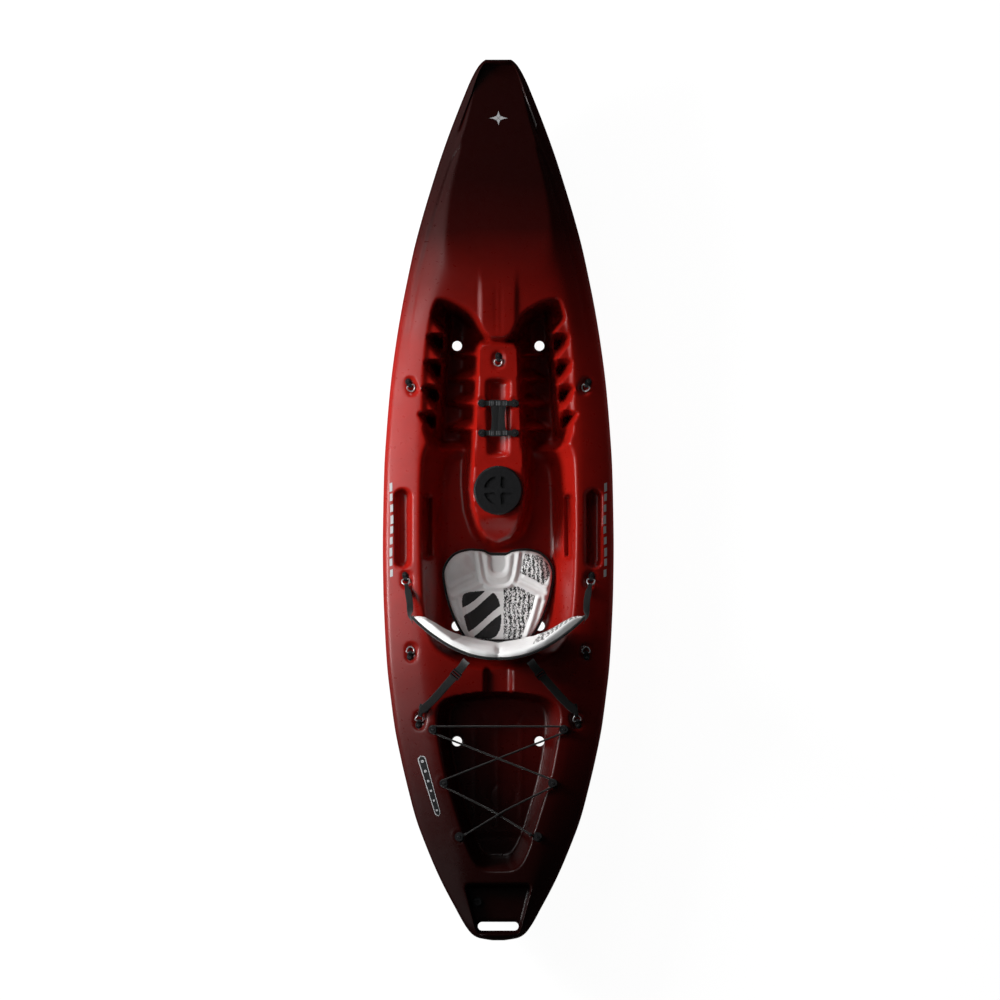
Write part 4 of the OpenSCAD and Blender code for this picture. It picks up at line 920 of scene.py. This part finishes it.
def seat_pad():
    half = np.array(SEAT, float)
    loop = np.vstack([half, [[-p[0], p[1]] for p in SEAT[::-1] if p[0] > 1]])
    loop = chaikin(loop, 2, True)
    L = np.concatenate([[0], np.cumsum(np.linalg.norm(np.diff(np.vstack([loop, loop[:1]]), axis=0), axis=1))])
    n = 260
    q = np.linspace(0, L[-1], n, endpoint=False)
    lp = np.vstack([loop, loop[:1]])
    O = np.stack([np.interp(q, L, lp[:, k]) for k in (0, 1)], 1)
    C = np.array([0, -290.0])
    rings, V = [], []
    # underside centre, underside rim, side, then over the top to the centre
    for f, z in ((0.35, 82.4), (0.7, 82.4), (0.93, 82.5), (0.962, 84.5), (0.982, 89), (0.989, 95)):
        R = C + (O - C) * f
        V.append(np.column_stack([R, np.full(n, z)]))
    fs = np.concatenate([[0.990, 0.984, 0.975, 0.962, 0.945], np.linspace(0.925, 0.02, 50)])
    od = 1 - fs
    for f in fs:
        R = C + (O - C) * f
        z = seat_height(R[:, 0], R[:, 1])
        e = np.clip((0.992 - f) / 0.075, 0, 1)
        k = math.sqrt(1 - (1 - e) ** 2)
        V.append(np.column_stack([R, 96.5 + (z - 96.5) * k]))
    m = len(V)
    V = np.vstack(V)
    F = []
    for i in range(m - 1):
        for k in range(n):
            q2 = (k + 1) % n
            F.append([i * n + k, i * n + q2, (i + 1) * n + q2, (i + 1) * n + k])
    V = np.vstack([V, [[0, -290, 82.4], [0, -290, seat_height(np.array([0.0]), np.array([-290.0]))[0]]]])
    for k in range(n):
        F.append([len(V) - 2, (k + 1) % n, k])
        F.append([len(V) - 1, (m - 1) * n + k, (m - 1) * n + (k + 1) % n])
    x, y = V[:, 0], V[:, 1]
    reg = sdf(x, y, chaikin([[-116, -290], [-84, -278], [6, -276], [12, -424], [-82, -424], [-100, -380]], 2, True))
    t = x * 0.50 - y * 0.86 + 10.0 * np.sin((x + 40) / 34.0)
    stripe = np.abs((((t - 14) / 72.0) % 1.0) - 0.5) * 72.0 - 25.0
    band = np.maximum(reg, stripe)
    m1 = sdf(x, y, [[16, -270], [58, -262], [112, -292], [104, -330], [80, -392], [70, -424], [16, -424]])
    m2 = sdf(x, y, [[66, -222], [82, -164], [128, -170], [154, -198], [158, -228], [140, -262], [104, -240]])
    top = V[:, 2] > 97
    marks = np.where(top, np.minimum(m1, m2), 20)
    band = np.where(top, band, 20)
    o = mesh("seat_cushion", V, F, M_PAD, body="kayak", slot="pad_foam", attrs={"band": band, "marks": marks})
    fix_normals(o)
    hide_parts("seat_pad")
    E = np.column_stack([C + (O - C) * 1.004, np.full(n, 96.5 + 0.0)])
    bnd = tube("seat_binding", E, 5.0, M_BIND, sides=10, closed=True, flat=0.9, body="kayak", slot="webbing")
    fix_normals(bnd)
    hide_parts("seat_pad_binding")
    # points of a stitch line just inside the binding; no mesh is built from them
    S = C + (O - C) * 0.955
    st = []
    zz = seat_height(S[:, 0], S[:, 1])
    k = math.sqrt(1 - (1 - (0.992 - 0.955) / 0.075) ** 2)
    zz = 96.5 + (zz - 96.5) * k
    return O


seat_pad()

BACK_TOP = 392.0
X0 = [[0, 0], [92, 0], [120, 36], [150, 86], [190, 126], [230, 152], [262, 172]]
X1 = [[0, -10], [12, -6], [40, 0], [90, 0], [150, -16], [210, -44], [245, -66], [262, -84]]
bz0 = lambda x: SEAT_Z + 31 + look(np.abs(x), X0)
bz1 = lambda x: BACK_TOP + look(np.abs(x), X1)
by = lambda x, z: -487 + 0.00165 * x * x + 0.13 * (386 - z)
bth = lambda x: look(np.abs(x), [[0, 20], [20, 23], [90, 23], [150, 27], [210, 30], [240, 27], [253, 19], [262, 8]])


def bpt(x, t, d):
    x, t, d = np.broadcast_arrays(np.asarray(x, float), np.asarray(t, float), np.asarray(d, float))
    z = bz0(x) + t * (bz1(x) - bz0(x))
    N = np.stack([-0.0033 * x, np.ones_like(x), np.full_like(x, 0.13)], -1)
    N /= np.linalg.norm(N, axis=-1, keepdims=True)
    return np.stack([x, by(x, z), z], -1) + d[..., None] * N


def backrest_pad():
    xs = np.concatenate([[-262, -260.5, -257, -251], np.linspace(-244, 244, 105), [251, 257, 260.5, 262]])
    tb = np.linspace(0.03, 0.97, 8)
    tf = np.linspace(0.965, 0.035, 46)
    V = []
    marks = []
    for x in xs:
        th = float(bth(x))
        a = abs(x)
        ring = [bpt(x, t, 1.0) for t in tb]
        for p, q in ((0.995, 0.12), (1.0, 0.3), (1.0, 0.5), (0.998, 0.7), (0.985, 0.88)):
            ring.append(bpt(x, p, q * th))
        mk = [40] * (len(ring))
        for t in tf:
            full = 1.0 - 0.10 * (abs(2 * t - 1)) ** 6
            d = th * full + 2.5 * math.sin(math.pi * t) * min(1, (262 - a) / 60)
            # two halves that meet at the middle
            d -= 7.0 * math.exp(-(x / 6.0) ** 2) * float(sstep((t - 0.25) / 0.5))
            d -= 2.0 * math.exp(-(x / 20.0) ** 2)
            d += 3.0 * math.exp(-((a - 62) / 44.0) ** 2) * float(sstep((t - 0.45) / 0.3))
            # crease between the back panel and the wing
            cr = a - (150 - 34 * (1 - t))
            d -= 3.2 * math.exp(-(cr / 6.0) ** 2)
            # curved seam across each half
            cs = t - (0.80 - 0.0009 * a - 0.000004 * (a - 60) ** 2)
            if a < 140:
                d -= 2.6 * math.exp(-(cs / 0.022) ** 2)
            # lumbar channels
            for tc in (0.25, 0.45):
                if a < 118:
                    d -= 2.8 * math.exp(-((t - tc) / 0.02) ** 2)
            ring.append(bpt(x, t, d))
            inside = max(112 + 30 * (1 - t) - x, x - 256, 0.30 - t if False else -5, (t - 0.93) * 100)
            mk.append(inside)
        for p, q in ((0.015, 0.86), (0.003, 0.65), (0.0, 0.45), (0.002, 0.25), (0.008, 0.12)):
            ring.append(bpt(x, p, q * th)); mk.append(40)
        V.append(np.array(ring)); marks.append(mk)
    m, n = len(V), len(V[0])
    V = np.vstack(V); marks = np.concatenate(marks)
    F = []
    for i in range(m - 1):
        for k in range(n):
            q = (k + 1) % n
            F.append([i * n + k, i * n + q, (i + 1) * n + q, (i + 1) * n + k])
    for r in (0, m - 1):
        c = V[r * n: (r + 1) * n].mean(0)
        V = np.vstack([V, c]); marks = np.append(marks, 40); ci = len(V) - 1
        for k in range(n):
            q = (k + 1) % n
            F.append([ci, r * n + q, r * n + k] if r == 0 else [ci, r * n + k, r * n + q])
    o = mesh("backrest_cushion", V, F, M_PAD, body="backrest", slot="pad_foam", attrs={"band": np.full(len(V), 30.0), "marks": marks})
    fix_normals(o)
    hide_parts("backrest_pad")
    # binding on the rim
    P = []
    for x in np.linspace(-254, 254, 60):
        P.append(bpt(x, 1.0, 0.0))
    for t in (0.93, 0.8, 0.6, 0.4, 0.2, 0.07):
        P.append(bpt(263.0, t, 0.0))
    for x in np.linspace(254, -254, 60):
        P.append(bpt(x, 0.0, 0.0))
    for t in (0.07, 0.2, 0.4, 0.6, 0.8, 0.93):
        P.append(bpt(-263.0, t, 0.0))
    P = np.array(P)
    ctr = np.array([0, 0, 260.0])
    out = P - P.mean(0); out[:, 1] = 0
    T = np.roll(P, -1, 0) - np.roll(P, 1, 0)
    T /= np.linalg.norm(T, axis=1, keepdims=True)
    N = np.stack([-0.0033 * P[:, 0], np.ones(len(P)), np.full(len(P), 0.13)], 1)
    O = np.cross(T, N); O /= np.linalg.norm(O, axis=1, keepdims=True)
    P = smooth_path(P + 1.6 * O + 3.5 * N / np.linalg.norm(N, axis=1, keepdims=True), 5.0, True)
    b = tube("backrest_piping", P, 4.6, M_BIND, sides=10, closed=True, up=(0, 1, 0.13), body="backrest", slot="webbing")
    fix_normals(b)
    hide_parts("backrest_binding")


backrest_pad()

# ---------------------------------------------------------------- straps


def ring_tip(i, a):
    d = math.radians(PAD[i][3]); l = 9 + 19 * math.cos(math.radians(a))
    return np.array([PAD[i][0] + l * math.cos(d), PAD[i][1] + l * math.sin(d), PAD_Z[i] + 7.5 + 19 * math.sin(math.radians(a))])


def strap(name, c, mids, side_end, width, bend, body_b, nodes, near=None):
    far = np.array(mids[0] if near is None else near, float)
    u = far - c; u[2] = 0; u /= np.linalg.norm(u)
    w = 3.4
    up = np.array([0, 0, 1.0])
    P = [c + 34 * u + up * (-w - 0.8 + 34 * bend - 1.8), c + 14 * u + up * (-w - 0.4 + 14 * bend)]
    for a in range(270, 80, -30):
        P.append(c + w * math.cos(math.radians(a)) * u + up * w * math.sin(math.radians(a)))
    P.append(c + 14 * u + up * (w + 0.4 + 14 * bend))
    P += [np.array(q, float) for q in mids]
    R = smooth_path(P, 3.0)
    g = np.cross(u, up)
    d = np.linalg.norm(R - c, axis=1)
    W = 12 + (width - 12) * sstep((d - 6) / 20.0)
    k = sstep((np.arange(len(R)) / len(R) - 0.6) / 0.4)[:, None]
    S = g[None] * (1 - k) + np.asarray(side_end, float)[None] * k
    o = ribbon(name, R, W, 1.5, S, M_WEB, slot="webbing")
    fix_normals(o)
    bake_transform(o)
    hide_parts(*nodes)
    return o


TIP = 22
for s, side in ((1, "right"), (-1, "left")):
    c = ring_tip(3 if s > 0 else 4, TIP)
    strap(f"front_webbing_{side}", c, [[s * 275, -282, c[2] + 14], [s * 270, -312, c[2] + 34], [s * 269, -338, 268], [s * 267.5, -356, 288], [s * 262, -372, 300]],
          (0, 0, s), 20, 0.3, "backrest", [f"front_strap_{side}"])
    c = ring_tip(7 if s > 0 else 8, TIP)
    u = np.array([s * 129 - c[0], -531 - c[1], 0]); u /= np.linalg.norm(u)
    g = np.cross(u, [0, 0, 1.0])
    strap(f"rear_webbing_{side}", c, [[s * 196, -607, 257], [s * 150, -555, 288], [s * 135, -539, 299]], g, 25, 0.42, "backrest",
          [f"rear_strap_{side}"], near=(c[0] - s * 34, c[1] + 92, c[2]))
    # upper webbing from the buckle to the stiffener
    P = smooth_path([[s * 124, -526, 306], [s * 121, -522, 309], [s * 112, -511, 316], [s * 105, -501, 325], [s * 100, -494, 336], [s * 96, -490, 352]], 3.0)
    side_v = np.cross(np.array([-s * 0.63, 0.78, 0]), [0, 0, 1.0])
    o = ribbon(f"upper_webbing_{side}", P, 25, 1.5, side_v, M_WEB, body="backrest", slot="webbing")
    fix_normals(o)
    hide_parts(f"rear_web_{side}")

# ---------------------------------------------------------------- bungee
CORD = 6.0


def hk(i, s):
    return np.array([s * HOOK[i][0], HOOK[i][1], HOOK_Z[i] + 7.4])


def cord_points():
    wr = 6.2 + CORD / 2
    up = np.array([0, 0, 0.6 * CORD])

    def wrap(c, p, q, s):
        a = math.atan2(*(p - c)[1::-1]) + s * math.radians(88)
        b = math.atan2(*(q - c)[1::-1]) - s * math.radians(88)
        if s > 0 and b < a:
            b += 2 * math.pi
        if s < 0 and b > a:
            b -= 2 * math.pi
        return [c + wr * np.array([math.cos(a + (b - a) * k / 10), math.sin(a + (b - a) * k / 10), 0]) for k in range(11)]

    bl, br, ml, mr, tl, tr = hk(2, -1), hk(2, 1), hk(1, -1), hk(1, 1), hk(0, -1), hk(0, 1)
    w = lambda a, b: a + 0.5 * (b - a)
    segs = [[bl + [13, 2.6, 0]], [w(bl, mr) + up], wrap(mr, bl, tl, 1), [w(mr, tl) + up], wrap(tl, mr, tr, -1), wrap(tr, tl, ml, -1), [w(tr, ml) - up], wrap(ml, tr, br, 1), [w(ml, br) - up], [br + [-13, 2.6, 0]]]
    P = [np.asarray(p, float) for q in segs for p in q]
    out = []
    for a, b in zip(P, P[1:]):
        d = np.linalg.norm(b - a)
        n = max(1, int(d / 9))
        for k in range(n):
            out.append(a + (b - a) * k / n)
    out.append(P[-1])
    out = np.array(out)
    for _ in range(3):
        out[1:-1] = 0.25 * out[:-2] + 0.5 * out[1:-1] + 0.25 * out[2:]
    return out


cordo = tube("bungee", cord_points(), 3.0, M_CORD, sides=10, body="kayak", slot="cord")
fix_normals(cordo)
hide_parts("bungee_cord")

# ---------------------------------------------------------------- rubber bottle strap


def bottle_strap():
    src = frame["nodes"]["bottle_strap"]
    me = src.data.copy()
    o = bpy.data.objects.new("trough_strap", me)
    sc.collection.objects.link(o)
    b = bmesh.new(); b.from_mesh(me)
    bmesh.ops.remove_doubles(b, verts=b.verts, dist=1e-6)
    bmesh.ops.dissolve_limit(b, angle_limit=math.radians(2), verts=b.verts, edges=b.edges)
    b.to_mesh(me); b.free()
    me.materials.clear(); me.materials.append(M_RUBBER)
    md = o.modifiers.new("edge", "BEVEL"); md.width = 0.0007; md.segments = 2; md.limit_method = "ANGLE"; md.angle_limit = math.radians(35)
    me.polygons.foreach_set("use_smooth", [True] * len(me.polygons))
    me.set_sharp_from_angle(angle=math.radians(40))
    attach(o, "kayak"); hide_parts("bottle_strap")
    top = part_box("bottle_strap")[1][2] * 1000
    # ribs along the strap top as thin bars whose lighter grey is a painted highlight on the rib tops
    V, F = [], []
    for y0 in (295.2, 204.4):
        for k in range(-5, 6):
            x0 = k * 5.2
            if abs(k) in (2,):
                continue
            b0 = len(V)
            for z, g in ((top - 1.6, 1.3), (top - 0.2, 1.2), (top + 0.25, 0.7)):
                V += [[x0 - g, y0 - 6.6, z], [x0 + g, y0 - 6.6, z], [x0 + g, y0 + 6.6, z], [x0 - g, y0 + 6.6, z]]
            for r in range(2):
                for q in range(4):
                    F.append([b0 + 4 * r + q, b0 + 4 * r + (q + 1) % 4, b0 + 4 * r + 4 + (q + 1) % 4, b0 + 4 * r + 4 + q])
            F.append([b0 + 3, b0 + 2, b0 + 1, b0]); F.append([b0 + 8, b0 + 9, b0 + 10, b0 + 11])
    ribs = mesh("trough_strap_ribs", V, F, M_RIB_HIGHLIGHT, smooth=False, body="kayak", slot="rubber")
    fix_normals(ribs)


# lighter copy of the strap rubber: painted highlight for the rib tops
M_RIB_HIGHLIGHT = plain("rib_rubber_painted_highlight", (0.10, 0.105, 0.11), 0.5, var=0.3, scale=150, bumpy=0.3, fine=1500)
bottle_strap()

# ---------------------------------------------------------------- plain painted marks on the deck


def paint(name, strips, mat):
    """Thin closed film over the deck: each strip is a grid of x, y points."""
    V, F = [], []
    for G in strips:
        G = np.asarray(G, float)
        r, c = G.shape[:2]
        z = deck_at(G[..., 0].ravel(), G[..., 1].ravel()).reshape(r, c)
        base = len(V)
        top = np.concatenate([G, (z + 0.55)[..., None]], -1).reshape(-1, 3)
        bot = np.concatenate([G, (z - 0.25)[..., None]], -1).reshape(-1, 3)
        V += top.tolist() + bot.tolist()
        ix = lambda i, j: base + i * c + j
        N = r * c
        for i in range(r - 1):
            for j in range(c - 1):
                q = [ix(i, j), ix(i, j + 1), ix(i + 1, j + 1), ix(i + 1, j)]
                F.append(q); F.append([k + N for k in q[::-1]])
        rim = [ix(0, j) for j in range(c)] + [ix(i, c - 1) for i in range(1, r)] + [ix(r - 1, j) for j in range(c - 2, -1, -1)] + [ix(i, 0) for i in range(r - 2, 0, -1)]
        for a, b in zip(rim, rim[1:] + rim[:1]):
            F.append([b, a, a + N, b + N])
    o = mesh(name, V, F, mat, smooth=False, body="kayak", slot="hull_plastic")
    return fix_normals(o)


M_MARK = plain("mark_silver", (0.40, 0.40, 0.41), 0.35, var=0.15, scale=160, bumpy=0.1)
M_MARK2 = plain("mark_black", (0.006, 0.006, 0.007), 0.35, var=0.2, scale=160, bumpy=0.1)
# bow: a four-pointed star; points for a plain oval ring round it are listed but not painted
cx, cy = 0.5, 1165.0
ring = []
for k in range(0, 65):
    a = 2 * math.pi * k / 64
    ring.append([[cx + r1 * math.cos(a), cy + r2 * math.sin(a)] for r1, r2 in ((40.5, 31.5), (43.5, 34.5), (47, 38))])
star = []
for q in range(4):
    a = math.pi / 2 * q
    L = 27 if q % 2 == 0 else 21
    e, f = np.array([math.cos(a), math.sin(a)]), np.array([-math.sin(a), math.cos(a)])
    c0 = np.array([cx, cy])
    star.append([[c0 + 0.6 * e - 6 * (1 - 0.0) * f + 6 * e, c0 + 0.6 * e, c0 + 0.6 * e + 6 * f + 6 * e], [c0 + e * (L * 0.6) - 2.4 * f, c0 + e * (L * 0.6), c0 + e * (L * 0.6) + 2.4 * f], [c0 + e * L - 0.3 * f, c0 + e * L, c0 + e * L + 0.3 * f]])
paint("bow_star_mark", star, M_MARK)
# side: a row of short slanted dashes
for s, side in ((-1, "left"), (1, "right")):
    rows_ = []
    for k in range(9):
        y0 = 52 - 33 * k
        ln = 22 if k % 3 else 26
        rows_.append([[[s * (326 + 1.5 * math.cos(k)) + dx, y0 - t * ln + dx * 0.35] for dx in (-4.2, -1.4, 1.4, 4.2)] for t in (0, 0.5, 1)])
    paint(f"side_dashes_{side}", rows_, M_MARK)
# quarter: a plain slanted bar with round dots
p0, p1 = np.array([-236.0, -782.0]), np.array([-183.0, -962.0])
e = (p1 - p0) / np.linalg.norm(p1 - p0); f = np.array([-e[1], e[0]]); Lb = np.linalg.norm(p1 - p0)


def bar(w, grow):
    out = []
    for t in np.linspace(-grow, Lb + grow, 34):
        k = min(1.0, max(0.0, min(t + grow, Lb + grow - t)) / w)
        h = w * math.sqrt(max(0.0, 1 - (1 - k) ** 2)) * (1.0 - 0.35 * (t / Lb)) + 0.2
        out.append([p0 + e * t + f * h * u for u in (-1, -0.5, 0, 0.5, 1)])
    return out


paint("quarter_bar_edge", [bar(12.5, 2.5)], M_MARK)


def lifted(o, dz):
    for v_ in o.data.vertices:
        v_.co.z += dz
    return o


lifted(paint("quarter_bar", [bar(9.5, 0.0)], M_MARK2), 0.0006)
dots = []
for k in range(6):
    t = 16 + (Lb - 32) * k / 5
    c0 = p0 + e * t; r0 = 4.6 - 0.35 * k
    dots.append([[c0 + rr_ * np.array([math.cos(2 * math.pi * j / 18), math.sin(2 * math.pi * j / 18)]) for rr_ in (r0 * 0.25, r0)] for j in range(19)])
lifted(paint("quarter_dots", dots, M_MARK), 0.0012)

# ---------------------------------------------------------------- floor
fme = bpy.data.meshes.new("floor")
fme.from_pydata([(-9, -9, -0.001), (9, -9, -0.001), (9, 9, -0.001), (-9, 9, -0.001)], [], [(0, 1, 2, 3)])
floor = bpy.data.objects.new("floor", fme)
sc.collection.objects.link(floor)
fm, fn, fl_, fb = new_mat("pale_floor")
fb.inputs["Base Color"].default_value = (0.10, 0.10, 0.10, 1)
fb.inputs["Roughness"].default_value = 0.9
fb.inputs["Emission Color"].default_value = (1, 1, 1, 1)
fb.inputs["Emission Strength"].default_value = 0.97
fme.materials.append(fm)
floor.visible_glossy = False
